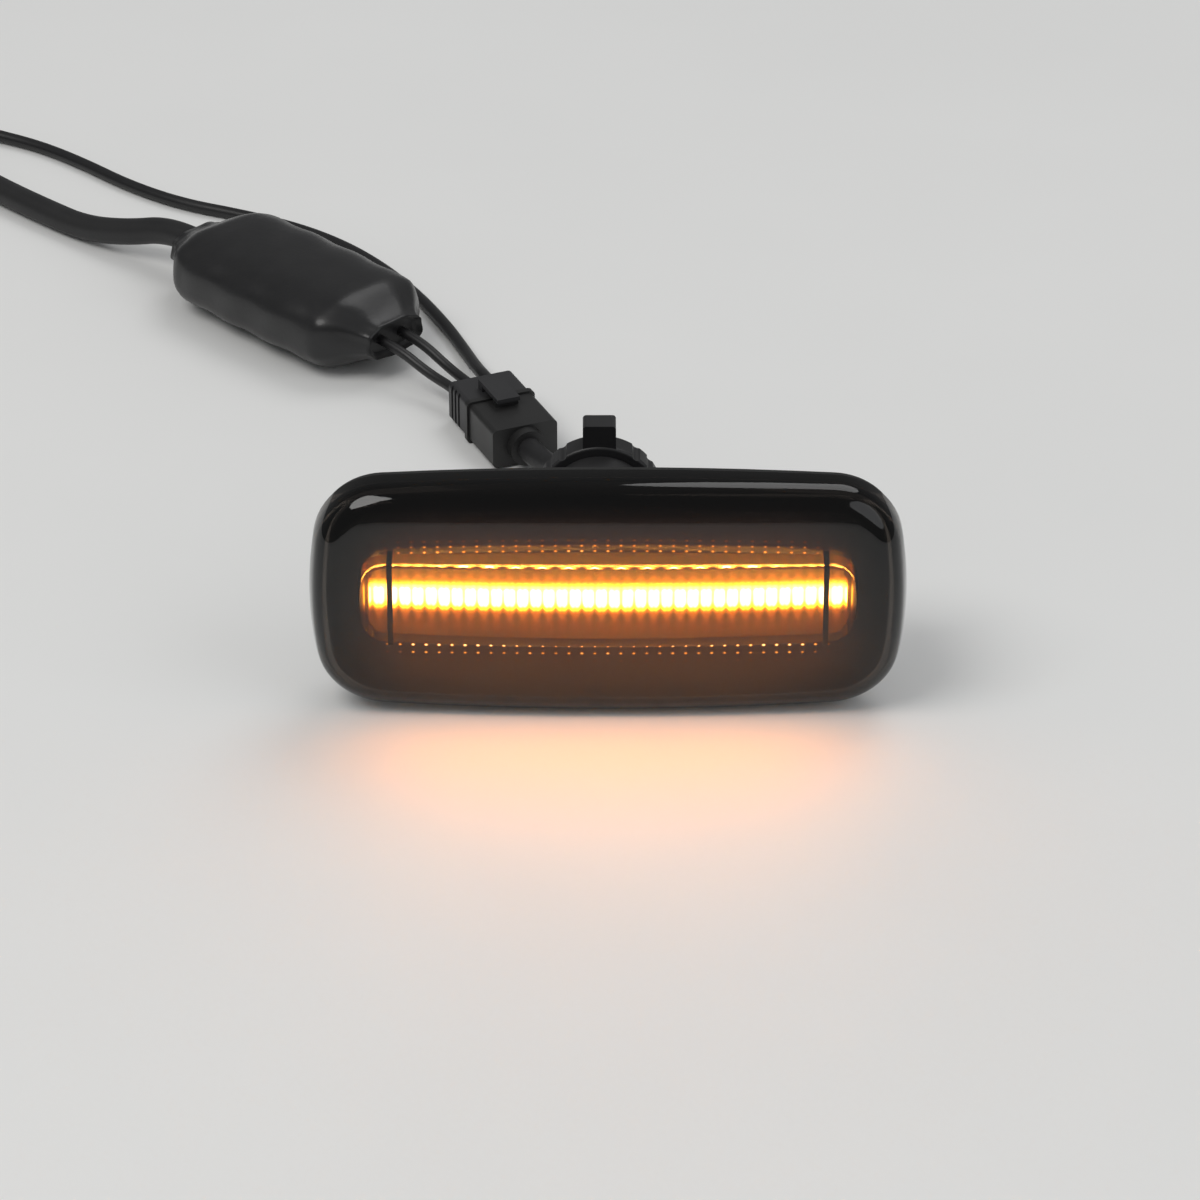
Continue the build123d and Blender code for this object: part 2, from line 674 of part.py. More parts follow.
def make_cap():
    """Twist-in cap: ribbed disc with a lug, spigot with a groove for the O-ring, and a hub."""
    disc = extrude(Circle(CAP_RADIUS), CAP_THICK)
    disc = fillet(disc.edges(), CAP_ROUND)
    for i in range(CAP_RIBS):
        notch = Rot(0, 0, 360 / CAP_RIBS * i) * Pos(CAP_RADIUS + CAP_RIB_DEPTH, 0, 0)
        if abs(i - CAP_RIBS / 4) > 1:
            disc -= notch * extrude(Circle(2 * CAP_RIB_DEPTH), CAP_THICK)
    lug = Pos(0, CAP_RADIUS + LUG_HEIGHT / 2 - CAP_ROUND, CAP_THICK / 2) * Box(
        LUG_WIDTH, LUG_HEIGHT + 2 * CAP_ROUND, CAP_THICK - CAP_ROUND
    )
    lug = fillet(lug.edges().filter_by(Axis.Z).group_by(Axis.Y)[-1], CAP_ROUND)
    spigot_radius = NECK_BORE - SPIGOT_GAP
    spigot = Pos(0, 0, CAP_THICK) * extrude(Circle(spigot_radius), SPIGOT_LENGTH)
    spigot = chamfer(spigot.edges().group_by(Axis.Z)[-1], CAP_ROUND / 2)
    groove_floor = ring_middle() - RING_SECTION - RING_PLAY
    groove = Pos(0, 0, CAP_THICK + RING_PLACE) * (
        Cylinder(NECK_BORE, 2 * RING_SECTION + 4 * RING_PLAY) - Cylinder(groove_floor, 4 * RING_SECTION)
    )
    hub = Pos(0, 0, -HUB_LENGTH) * extrude(Circle(HUB_RADIUS), HUB_LENGTH)
    hub = fillet(hub.edges().group_by(Axis.Z)[0], CAP_ROUND)
    cap = disc + lug + spigot + hub - groove
    return Pos(NECK_X, 0, CAP_BACK) * cap


def ring_middle():
    """Radius of the O-ring, from the cap's middle to the middle of its section."""
    return NECK_BORE - RING_PLAY - RING_SECTION


def make_ring():
    return Pos(NECK_X, 0, CAP_FRONT + RING_PLACE) * Torus(ring_middle(), RING_SECTION)


def make_grommet():
    """Tapered ribbed sleeve round the cable where it leaves the cap."""
    sleeve = Cone(GROMMET_TIP, GROMMET_ROOT, GROMMET_LENGTH)
    groove = Cylinder(2 * GROMMET_ROOT, GROMMET_GROOVE)
    groove -= Cylinder(GROMMET_TIP - GROMMET_GROOVE / 2, GROMMET_GROOVE)
    for i in range(GROMMET_RINGS):
        place = (i - (GROMMET_RINGS - 1) / 2) * GROMMET_LENGTH / (GROMMET_RINGS + 1)
        sleeve -= Pos(0, 0, place) * groove
    return Pos(NECK_X, 0, HUB_BACK - GROMMET_LENGTH / 2) * sleeve


def make_inner_leads():
    """Three short wires from the front of the cap's spigot to the back of the board."""
    start = CAP_FRONT + SPIGOT_LENGTH
    rise = BOARD_BACK - start
    leads = []
    for i in (-1, 0, 1):
        foot, head = NECK_X + i * LEAD_SPREAD, NECK_X + LEAD_SHIFT + i * LEAD_BOARD_SPREAD
        points = [
            (foot, 0, start),
            (foot, 0, start + rise * LEAD_LOW),
            (head, LEAD_BOW, BOARD_BACK - rise * LEAD_LOW),
            (head, LEAD_BOW, BOARD_BACK),
        ]
        leads.append(tube(points, LEAD_RADIUS))
    return Part() + leads


def bend_radii(points):
    """Largest arc that the two runs beside each inner point allow."""
    spots = [Vector(*p) for p in points]
    radii = []
    for before, here, after in zip(spots, spots[1:], spots[2:]):
        turn = math.radians((here - before).get_angle(after - here))
        shorter = min((here - before).length, (after - here).length)
        radii.append(BEND_SHARE * shorter / math.tan(turn / 2))
    return radii


def tube(points, radius):
    """A cord's solid: straight runs joined by tangent arcs."""
    path = FilletPolyline(*points, radius=bend_radii(points))
    section = Plane(origin=path @ 0, z_dir=path % 0) * Circle(radius)
    return sweep(section, path=path)


def cord(points, radius, name):
    """Write a cord's tube and print its bends and its length."""
    solid = tube(points, radius)
    length = FilletPolyline(*points, radius=bend_radii(points)).length
    share = solid.volume / (math.pi * radius**2 * length)
    radii = ", ".join(f"{r:.1f}" for r in bend_radii(points))
    print(f"{name}: length {length:.1f}, volume over section times length {share:.4f}, radii {radii}")
    save(solid, name)


def over_table(route):
    """Turn each point's height above the table into a level."""
    return [(x, y, TABLE + height) for x, y, height in route]


def laid(spot, way, level):
    """Frame with local X along way and local Z up, for a piece that lies on the table."""
    return Plane(origin=(*spot, level), x_dir=(*way, 0), z_dir=(0, 0, 1)).location


def spot_on(frame, along, aside=0.0):
    """A point of a laid piece, as plain numbers in the lamp's frame."""
    return tuple((frame * Pos(along, aside, 0)).position)


BLOCK = laid(BLOCK_AT, BLOCK_WAY, BLOCK_LEVEL)
MODULE = laid(MODULE_AT, MODULE_WAY, MODULE_LEVEL)
PLUG = laid(PLUG_AT, PLUG_WAY, PLUG_LEVEL)


def rounded_bar(start, end, width, height, edge):
    """A block along local X with its long edges rounded."""
    bar = Pos((start + end) / 2, 0, 0) * Box(end - start, width, height)
    return fillet(bar.edges().filter_by(Axis.X), edge)


def make_socket():
    """Shroud half of the in-line connector, closed at the lamp's side, with a rib on top."""
    shell = rounded_bar(0, SOCKET_LENGTH, BLOCK_WIDTH, BLOCK_HEIGHT, BLOCK_ROUND)
    room_width, room_height = BLOCK_WIDTH - 2 * SOCKET_WALL, BLOCK_HEIGHT - 2 * SOCKET_WALL
    room = rounded_bar(SOCKET_BACK, SOCKET_LENGTH, room_width, room_height, BLOCK_ROUND / 2)
    neck = Pos(-SOCKET_NECK / 2, 0, 0) * Rot(0, 90, 0) * Cylinder(LAMP_CABLE + SOCKET_WALL, SOCKET_NECK)
    collar = rounded_bar(
        SOCKET_LENGTH - SOCKET_WALL, SOCKET_LENGTH, BLOCK_WIDTH + COLLAR, BLOCK_HEIGHT + COLLAR, BLOCK_ROUND
    )
    catch = Pos(SOCKET_LENGTH - LATCH_LENGTH + CATCH_LENGTH, 0, BLOCK_HEIGHT / 2) * Box(
        CATCH_LENGTH, LATCH_WIDTH, 2 * LATCH_RISE
    )
    return BLOCK * Pos(SOCKET_NECK, 0, 0) * (shell + neck + collar + catch - room)


def make_inline_plug():
    """Half that the strands enter: a nose inside the shroud, grip ribs and a latch over the catch."""
    gap = SOCKET_WALL + FIT
    nose = rounded_bar(
        -NOSE_LENGTH, PLUG_LENGTH / 2, BLOCK_WIDTH - 2 * gap, BLOCK_HEIGHT - 2 * gap, BLOCK_ROUND / 2
    )
    body = rounded_bar(FIT, PLUG_LENGTH, BLOCK_WIDTH, BLOCK_HEIGHT, BLOCK_ROUND)
    for i in range(GRIP_RIBS):
        place = PLUG_LENGTH - (i + 1) * GRIP_PITCH
        for side in (-1, 1):
            body -= Pos(place, side * BLOCK_WIDTH / 2, 0) * Box(GRIP_PITCH / 2, GRIP_DEPTH, BLOCK_HEIGHT)
    arm_low = BLOCK_HEIGHT / 2 + LATCH_RISE + FIT
    arm_length = LATCH_LENGTH + PLUG_LENGTH / 2
    arm = Pos(PLUG_LENGTH / 2 - arm_length / 2, 0, arm_low + LATCH_THICK / 2) * Box(
        arm_length, LATCH_WIDTH, LATCH_THICK
    )
    root = Pos(PLUG_LENGTH / 2 - LATCH_RISE, 0, arm_low - LATCH_RISE) * Box(
        2 * LATCH_RISE, LATCH_WIDTH, 2 * LATCH_RISE
    )
    plug = nose + body + root + arm
    for i, radius in ((-1, STRAND), (0, STRAND), (1, BYPASS)):
        plug -= strand_hole(PLUG_LENGTH - STRAND_SINK, PLUG_LENGTH, -i * STRAND_PITCH, radius)
    return BLOCK * Pos(SOCKET_NECK + SOCKET_LENGTH, 0, 0) * plug


def strand_hole(start, end, aside, radius):
    """Hole along local X that a strand of this radius fits in."""
    return Pos(start, aside, 0) * Rot(0, 90, 0) * extrude(Circle(radius + STRAND_PLAY), end - start)


def strand_end(i, beyond):
    """A spot on strand i's straight end, this far beyond the in-line connector's face."""
    return spot_on(BLOCK, BLOCK_END + beyond, -i * STRAND_PITCH)


def module_section(along, share, inset=0.0):
    """Outline of the module's sleeve at one place along it, drawn in by inset."""
    width = MODULE_END_WIDTH + share * (MODULE_WIDTH - MODULE_END_WIDTH)
    height = MODULE_END_HEIGHT + share * (MODULE_HEIGHT - MODULE_END_HEIGHT)
    corner = height * MODULE_CORNER - inset
    return Pos(along, 0, 0) * Rot(0, 90, 0) * RectangleRounded(height - 2 * inset, width - 2 * inset, corner)


def make_sleeve():
    """Shrink sleeve: swollen over the circuit, gathered and closed round the leads at its ends."""
    gather = MODULE_GATHER * MODULE_LENGTH
    stations = [
        (0, 0),
        (gather, MODULE_SWELL),
        (MODULE_LENGTH / 2, 1),
        (MODULE_LENGTH - gather, MODULE_SWELL),
        (MODULE_LENGTH, 0),
    ]
    sleeve = loft([module_section(along, share) for along, share in stations])
    room = extrude(module_section(gather, MODULE_SWELL, MODULE_WALL), MODULE_LENGTH - 2 * gather)
    for side in (-1, 1):
        sleeve -= strand_hole(0, STRAND_SINK, side * PORT_PITCH, STRAND)
    return MODULE * (sleeve - room)


def sleeve_room():
    """Length, width, height and corner radius of the sleeve's hollow."""
    width = MODULE_END_WIDTH + MODULE_SWELL * (MODULE_WIDTH - MODULE_END_WIDTH)
    height = MODULE_END_HEIGHT + MODULE_SWELL * (MODULE_HEIGHT - MODULE_END_HEIGHT)
    length = MODULE_LENGTH * (1 - 2 * MODULE_GATHER)
    return length, width - 2 * MODULE_WALL, height - 2 * MODULE_WALL, height * MODULE_CORNER - MODULE_WALL


def on_module_floor(along, part):
    """Stand a part on the module's board or, with the board itself, near the sleeve's floor."""
    floor = BOARD_LIFT - sleeve_room()[2] / 2
    return MODULE * Pos(MODULE_LENGTH / 2 + along, 0, floor) * part


def make_module_board():
    """Board as wide as the hollow's rounded corners let it lie so near the floor."""
    length, width, _, corner = sleeve_room()
    rounding = corner - math.sqrt(corner**2 - (corner - BOARD_LIFT) ** 2)
    size = (length - 2 * MODULE_BOARD_END, width - 2 * (rounding + MODULE_BOARD_PLAY), MODULE_BOARD_THICK)
    return on_module_floor(0, Pos(0, 0, MODULE_BOARD_THICK / 2) * Box(*size))


def make_choke():
    """Spool-shaped coil that stands on the module's board."""
    spool = extrude(Circle(CHOKE_RADIUS), CHOKE_LENGTH)
    waist = Cylinder(2 * CHOKE_RADIUS, CHOKE_LENGTH / 2) - Cylinder(CHOKE_RADIUS - CHOKE_FLANGE, CHOKE_LENGTH)
    spool -= Pos(0, 0, CHOKE_LENGTH / 2) * waist
    return on_module_floor(CHOKE_PLACE, Pos(0, 0, MODULE_BOARD_THICK) * spool)


def make_module_chip():
    length, width, thick = MODULE_CHIP
    chip = Pos(0, 0, thick / 2) * Box(length, width, thick)
    legs = Pos(0, 0, PIN_THICK / 2) * Box(length - PIN_REACH, width + 2 * PIN_REACH, PIN_THICK)
    return on_module_floor(-CHOKE_PLACE, Pos(0, 0, MODULE_BOARD_THICK) * (chip + legs))


def make_boot():
    """Rubber boot at the rear of the vehicle plug, which the leads enter."""
    flange = rounded_bar(
        0, BOOT_LENGTH - BOOT_SINK, BOOT_WIDTH + 2 * BOOT_FLANGE, BOOT_HEIGHT + 2 * BOOT_FLANGE, BLOCK_ROUND
    )
    return PLUG * (flange + rounded_bar(0, BOOT_LENGTH, BOOT_WIDTH, BOOT_HEIGHT, BLOCK_ROUND))


def make_vehicle_plug():
    """Plug housing: rear body, narrower nose with a cavity for each terminal, latch arm on top."""
    rear = BOOT_LENGTH - BOOT_SINK
    shoulder, tip = rear + PLUG_BODY_LENGTH, rear + VEHICLE_PLUG_LENGTH
    nose_width, nose_height = VEHICLE_PLUG_WIDTH - 2 * NOSE_STEP, VEHICLE_PLUG_HEIGHT - 2 * NOSE_STEP
    recess_width, recess_height = BOOT_WIDTH + 2 * CAVITY_PLAY, BOOT_HEIGHT + 2 * CAVITY_PLAY
    plug = rounded_bar(rear, shoulder, VEHICLE_PLUG_WIDTH, VEHICLE_PLUG_HEIGHT, BLOCK_ROUND)
    plug += rounded_bar(shoulder - NOSE_STEP, tip, nose_width, nose_height, BLOCK_ROUND)
    plug -= rounded_bar(rear, BOOT_LENGTH, recess_width, recess_height, BLOCK_ROUND)
    deep = TERMINAL_LENGTH + TERMINAL_SINK
    cavity = Box(deep, TERMINAL_WIDTH + 2 * CAVITY_PLAY, TERMINAL_THICK + 2 * CAVITY_PLAY)
    for i in range(TERMINALS):
        plug -= Pos(tip - deep / 2, terminal_aside(i), 0) * cavity
    plug += make_latch(rear, shoulder)
    plug -= Pos(*lock_spot(), 0) * Box(
        LOCK_LENGTH + 2 * CAVITY_PLAY, 2 * LOCK_REACH, LOCK_THICK + 2 * CAVITY_PLAY
    )
    return PLUG * plug


def make_latch(rear, shoulder):
    """Latch arm that springs off the plug's top, with a catch near its free end."""
    top = VEHICLE_PLUG_HEIGHT / 2
    arm = top + ARM_RISE
    profile = Plane.XZ * make_face(
        Polyline(
            (rear + ARM_RISE, top - ARM_RISE / 2),
            (rear + ARM_RISE, arm),
            (shoulder - ARM_RISE, arm),
            (shoulder - ARM_RISE, arm + ARM_RISE / 2),
            (shoulder, arm),
            (shoulder + ARM_RISE, arm - ARM_RISE / 2),
            (rear + 2 * ARM_RISE, arm - ARM_RISE / 2),
            (rear + 2 * ARM_RISE, top - ARM_RISE / 2),
            close=True,
        )
    )
    return extrude(profile, LATCH_WIDTH / 2, both=True)


def terminal_aside(i):
    return (i - (TERMINALS - 1) / 2) * TERMINAL_PITCH


def make_terminal(i):
    """Blade of one terminal, sunk a little into the nose."""
    tip = BOOT_LENGTH - BOOT_SINK + VEHICLE_PLUG_LENGTH - TERMINAL_SINK
    blade = Box(TERMINAL_LENGTH, TERMINAL_WIDTH, TERMINAL_THICK)
    blade = chamfer(blade.edges().group_by(Axis.X)[-1], TERMINAL_THICK / 4)
    return PLUG * Pos(tip - TERMINAL_LENGTH / 2, terminal_aside(i), 0) * blade


def lock_spot():
    """Middle of the lock's slot in the plug's side, seen from above."""
    return BOOT_LENGTH + LOCK_LENGTH, VEHICLE_PLUG_WIDTH / 2


def make_lock():
    """Secondary lock pushed into the plug's side, with a head that stays outside."""
    along, aside = lock_spot()
    tongue = Pos(along, aside - LOCK_REACH / 2 + CAVITY_PLAY, 0) * Box(LOCK_LENGTH, LOCK_REACH, LOCK_THICK)
    head = Pos(along, aside + CAVITY_PLAY + LOCK_THICK / 2, 0) * Box(
        LOCK_LENGTH + 2 * LOCK_THICK, LOCK_THICK, 3 * LOCK_THICK
    )
    return PLUG * (tongue + head)


def cord_points(start, route, end):
    """A cord's points: two at each end, which keep it square to the face it meets, and its route."""
    return [*start, *over_table(route), *end]


save(upright(make_lens()), "outer_lens")
save(upright(make_bezel()), "bezel")
save(upright(make_light_bar()), "light_bar")
save(upright(make_clip(-1)), "bar_clip_left")
save(upright(make_clip(1)), "bar_clip_right")
save(upright(make_board()), "led_board")
for i in range(LEDS):
    place = Pos((i - (LEDS - 1) / 2) * LED_PITCH, 0, BOARD_FRONT)
    save(upright(place * make_led()), f"led_{i + 1:02d}")
save(upright(make_screws()), "board_screws")
save(upright(make_chip()), "driver_chip")
save(upright(make_diode()), "input_diode")
save(upright(make_resistors()), "resistors")
save(upright(make_capacitor()), "capacitor")
save(upright(make_inner_leads()), "inner_leads")
save(upright(make_housing()), "housing")
save(upright(make_gasket()), "gasket")
save(upright(make_spring()), "spring_clip")
save(upright(make_cap()), "rear_cap")
save(upright(make_ring()), "cap_seal")
save(upright(make_grommet()), "cable_grommet")
save(make_socket(), "inline_socket")
save(make_inline_plug(), "inline_plug")
save(make_sleeve(), "module_sleeve")
save(make_module_board(), "module_board")
save(make_choke(), "module_choke")
save(make_module_chip(), "module_chip")
save(make_boot(), "plug_boot")
save(make_vehicle_plug(), "vehicle_plug")
save(make_lock(), "plug_lock")
for i in range(TERMINALS):
    save(make_terminal(i), f"plug_terminal_{i + 1}")

cable_root = -HUB_BACK + GROMMET_LENGTH
cable_start = [(NECK_X, cable_root, 0), (NECK_X, cable_root + CABLE_OUT, 0)]
cable_end = [spot_on(BLOCK, -CABLE_OUT), spot_on(BLOCK, 0)]
cord(cord_points(cable_start, CABLE_ROUTE, cable_end), LAMP_CABLE, "lamp_cable")

front_start = [strand_end(-1, -STRAND_SINK), strand_end(-1, STRAND_OUT)]
front_end = [spot_on(MODULE, -STRAND_OUT, PORT_PITCH), spot_on(MODULE, STRAND_SINK, PORT_PITCH)]
cord(cord_points(front_start, FRONT_STRAND_ROUTE, front_end), STRAND, "front_strand")

back_start = [strand_end(0, -STRAND_SINK), strand_end(0, STRAND_OUT)]
back_end = [spot_on(MODULE, -STRAND_OUT, -PORT_PITCH), spot_on(MODULE, STRAND_SINK, -PORT_PITCH)]
cord(cord_points(back_start, BACK_STRAND_ROUTE, back_end), STRAND, "back_strand")

bypass_start = [strand_end(1, -STRAND_SINK), strand_end(1, BYPASS_OUT)]
bypass_end = [spot_on(PLUG, -BYPASS_OUT, BYPASS_ASIDE), spot_on(PLUG, 0, BYPASS_ASIDE)]
cord(cord_points(bypass_start, BYPASS_ROUTE, bypass_end), BYPASS, "bypass_lead")

supply_start = [spot_on(MODULE, MODULE_LENGTH), spot_on(MODULE, MODULE_LENGTH + SUPPLY_OUT)]
supply_end = [spot_on(PLUG, -SUPPLY_OUT, SUPPLY_ASIDE), spot_on(PLUG, 0, SUPPLY_ASIDE)]
cord(cord_points(supply_start, SUPPLY_ROUTE, supply_end), SLEEVE, "supply_lead")
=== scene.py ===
import math

import bmesh
import bpy
from mathutils import Matrix, Vector


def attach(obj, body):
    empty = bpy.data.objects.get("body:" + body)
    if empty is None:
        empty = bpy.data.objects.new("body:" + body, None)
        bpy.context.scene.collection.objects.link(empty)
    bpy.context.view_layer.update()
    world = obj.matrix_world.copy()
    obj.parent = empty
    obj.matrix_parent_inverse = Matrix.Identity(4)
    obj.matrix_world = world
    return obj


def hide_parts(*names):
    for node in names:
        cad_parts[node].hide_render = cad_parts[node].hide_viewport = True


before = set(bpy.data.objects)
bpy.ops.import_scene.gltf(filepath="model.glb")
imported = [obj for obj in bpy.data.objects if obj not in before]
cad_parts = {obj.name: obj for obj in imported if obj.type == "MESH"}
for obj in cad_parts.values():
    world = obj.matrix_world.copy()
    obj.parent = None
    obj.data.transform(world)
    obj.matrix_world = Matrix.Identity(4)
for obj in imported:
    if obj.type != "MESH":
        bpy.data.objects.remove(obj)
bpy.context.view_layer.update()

# Sizes below are in millimetres. The lamp is drawn face up, as a maker would lay it down, and
# turned upright at the end of each piece. The harness is drawn where it lies on the table.
MM = 0.001
TABLE = -21.4
UPRIGHT = Matrix.Rotation(math.radians(90), 4, "X") @ Matrix.Scale(MM, 4)
IN_PLACE = Matrix.Scale(MM, 4)

LAMP = {"length": 98.0, "height": 42.8, "corner": 12.0, "end_sag": 3.0, "edge_sag": 1.5}
LENS_TOP = 12.5
LENS_WALL = 2.4
SKIRT_WALL = 1.5
SKIRT_TOP = 4.9
SKIRT_FOOT = 1.9
FLANGE_FRONT = 3.3  # where the housing's flange ends under the lens
LENS_LEAN = math.tan(math.radians(12))
LENS_ROUND = 4.5  # shoulder between the skirt and the crown
INNER_ROUND = 2.1
HALF_SHOULDER = math.radians(35)  # half the turn of that shoulder
CROWN_LONG = 600.0
CROWN_TALL = 70.0
CROWN_SHORTER = 4.0  # how far the crown's middle line stops short at each end
EDGE_SPOKES, CORNER_SPOKES, END_SPOKES = 14, 12, 8
SHOULDER_RINGS, CROWN_RINGS = 10, 10
LENS_CLOSED = 0.02  # vertices nearer than this are one, where the crown closes
SOFT_ANGLE = 40  # degrees, the sharpest edge of the lens that is shaded smooth

BAR_FRONT = 8.9
BAR_CROWN = 590.0
BAR_HALF = 40.6  # half the lit length
BAR_EDGE_SAG = 0.5
HALO_TOP = 8.6
END_GAP = 39.4  # dark gap between the band and its last flute
FLUTE_PITCH = 81.2 / 38
LED_PITCH = 2 * FLUTE_PITCH
# height of the row of painted LED reflections on the light bar
PAINTED_REFLECTION_RISE = 7.2
STEP_PITCH = 1.2
STEP_EDGE = 9.35  # height of one of the bezel's step edges, at the middle of the lamp


# Node groups and materials


def new_group(name, inputs, outputs):
    """Start a shader node group with named sockets; returns it with its two end nodes."""
    group = bpy.data.node_groups.new(name, "ShaderNodeTree")
    for label, kind, value in inputs:
        socket = group.interface.new_socket(name=label, in_out="INPUT", socket_type=kind)
        if value is not None:
            socket.default_value = value
    for label, kind in outputs:
        group.interface.new_socket(name=label, in_out="OUTPUT", socket_type=kind)
    return group, group.nodes.new("NodeGroupInput"), group.nodes.new("NodeGroupOutput")


def arithmetic(tree, operation, first, second=None, third=None):
    """A Math node; each value is a number or a socket."""
    node = tree.nodes.new("ShaderNodeMath")
    node.operation = operation
    for i, value in enumerate((first, second, third)):
        if value is None:
            continue
        if isinstance(value, (int, float)):
            node.inputs[i].default_value = value
        else:
            tree.links.new(value, node.inputs[i])
    return node.outputs[0]


def noise(tree, vector, scale, detail=2.0, rough=0.5):
    node = tree.nodes.new("ShaderNodeTexNoise")
    node.inputs["Detail"].default_value = detail
    node.inputs["Roughness"].default_value = rough
    if isinstance(scale, (int, float)):
        node.inputs["Scale"].default_value = scale
    else:
        tree.links.new(scale, node.inputs["Scale"])
    tree.links.new(vector, node.inputs["Vector"])
    return node.outputs["Fac"]


def mixed(tree, share, first, second):
    """A colour between two, each a colour or a socket."""
    node = tree.nodes.new("ShaderNodeMix")
    node.data_type = "RGBA"
    if isinstance(share, (int, float)):
        node.inputs["Factor"].default_value = share
    else:
        tree.links.new(share, node.inputs["Factor"])
    for socket, value in ((node.inputs[6], first), (node.inputs[7], second)):
        if isinstance(value, (tuple, list)):
            socket.default_value = (*value, 1.0) if len(value) == 3 else value
        else:
            tree.links.new(value, socket)
    return node.outputs[2]


def make_grain_group():
    """Moulded or rubbery grain: a height, and a roughness that wanders round a middle value."""
    group, given, result = new_group(
        "surface grain",
        [
            ("Vector", "NodeSocketVector", None),
            ("Scale", "NodeSocketFloat", 3000.0),
            ("Roughness", "NodeSocketFloat", 0.5),
            ("Spread", "NodeSocketFloat", 0.1),
        ],
        [("Height", "NodeSocketFloat"), ("Roughness", "NodeSocketFloat")],
    )
    fine = noise(group, given.outputs["Vector"], given.outputs["Scale"], 3.0, 0.6)
    broad = noise(group, given.outputs["Vector"], 90.0, 3.0, 0.55)
    swing = arithmetic(group, "MULTIPLY_ADD", broad, 2.0, -1.0)
    rough = arithmetic(group, "MULTIPLY_ADD", swing, given.outputs["Spread"], given.outputs["Roughness"])
    group.links.new(fine, result.inputs["Height"])
    group.links.new(rough, result.inputs["Roughness"])
    return group


def make_dust_group():
    """Light dust that settles on what faces up, and less on the rest: the dusty colour and its mask."""
    group, given, result = new_group(
        "settled dust",
        [
            ("Vector", "NodeSocketVector", None),
            ("Normal", "NodeSocketVector", None),
            ("Base", "NodeSocketColor", (0.02, 0.02, 0.02, 1.0)),
            ("Amount", "NodeSocketFloat", 0.1),
        ],
        [("Color", "NodeSocketColor"), ("Mask", "NodeSocketFloat")],
    )
    split = group.nodes.new("ShaderNodeSeparateXYZ")
    group.links.new(given.outputs["Normal"], split.inputs[0])
    up = arithmetic(group, "MULTIPLY_ADD", split.outputs["Z"], 0.6, 0.4)
    up = arithmetic(group, "MAXIMUM", up, 0.05)
    cloud = noise(group, given.outputs["Vector"], 160.0, 5.0, 0.65)
    cloud = arithmetic(group, "SMOOTH_MIN", arithmetic(group, "MULTIPLY", cloud, 1.5), 1.0, 0.2)
    mask = arithmetic(group, "MULTIPLY", arithmetic(group, "MULTIPLY", up, cloud), given.outputs["Amount"])
    colour = mixed(group, mask, given.outputs["Base"], (0.16, 0.155, 0.15))
    group.links.new(colour, result.inputs["Color"])
    group.links.new(mask, result.inputs["Mask"])
    return group


def periodic(tree, value, pitch, sharp):
    """Peaks of 1 at each multiple of a pitch, narrower for a higher power."""
    wave = arithmetic(tree, "COSINE", arithmetic(tree, "MULTIPLY", value, math.tau / pitch))
    return arithmetic(tree, "POWER", arithmetic(tree, "MULTIPLY_ADD", wave, 0.5, 0.5), sharp)


def fading(tree, value, full, none):
    """1 up to one distance, then smoothly down to 0 at another; each is a number or a socket."""
    node = tree.nodes.new("ShaderNodeMapRange")
    node.interpolation_type = "SMOOTHSTEP"
    tree.links.new(value, node.inputs["Value"])
    for label, edge in (("From Min", full), ("From Max", none)):
        if isinstance(edge, (int, float)):
            node.inputs[label].default_value = edge
        else:
            tree.links.new(edge, node.inputs[label])
    node.inputs["To Min"].default_value = 1.0
    node.inputs["To Max"].default_value = 0.0
    return node.outputs[0]


def in_millimetres(group, vector):
    """Object coordinates in millimetres: along the lamp, towards its back, and up."""
    split = group.nodes.new("ShaderNodeSeparateXYZ")
    group.links.new(vector, split.inputs[0])
    return [arithmetic(group, "MULTIPLY", split.outputs[axis], 1000.0) for axis in "XYZ"]


def light_level_ramp(group, level):
    """Dark, brown amber, amber, then pale yellow as the light's level rises; it colours the lamp's own light
    and painted light alike.
    """
    ramp = group.nodes.new("ShaderNodeValToRGB")
    ramp.color_ramp.elements[0].position = 0.0
    ramp.color_ramp.elements[0].color = (0.0, 0.0, 0.0, 1.0)
    ramp.color_ramp.elements[1].position = 1.0
    ramp.color_ramp.elements[1].color = (1.0, 0.72, 0.30, 1.0)
    between = {
        0.25: (0.008, 0.0015, 0.0001, 1.0),
        0.55: (0.07, 0.016, 0.0005, 1.0),
        0.82: (0.55, 0.22, 0.012, 1.0),
    }
    for position, colour in between.items():
        ramp.color_ramp.elements.new(position).color = colour
    group.links.new(level, ramp.inputs[0])
    return ramp.outputs["Color"]


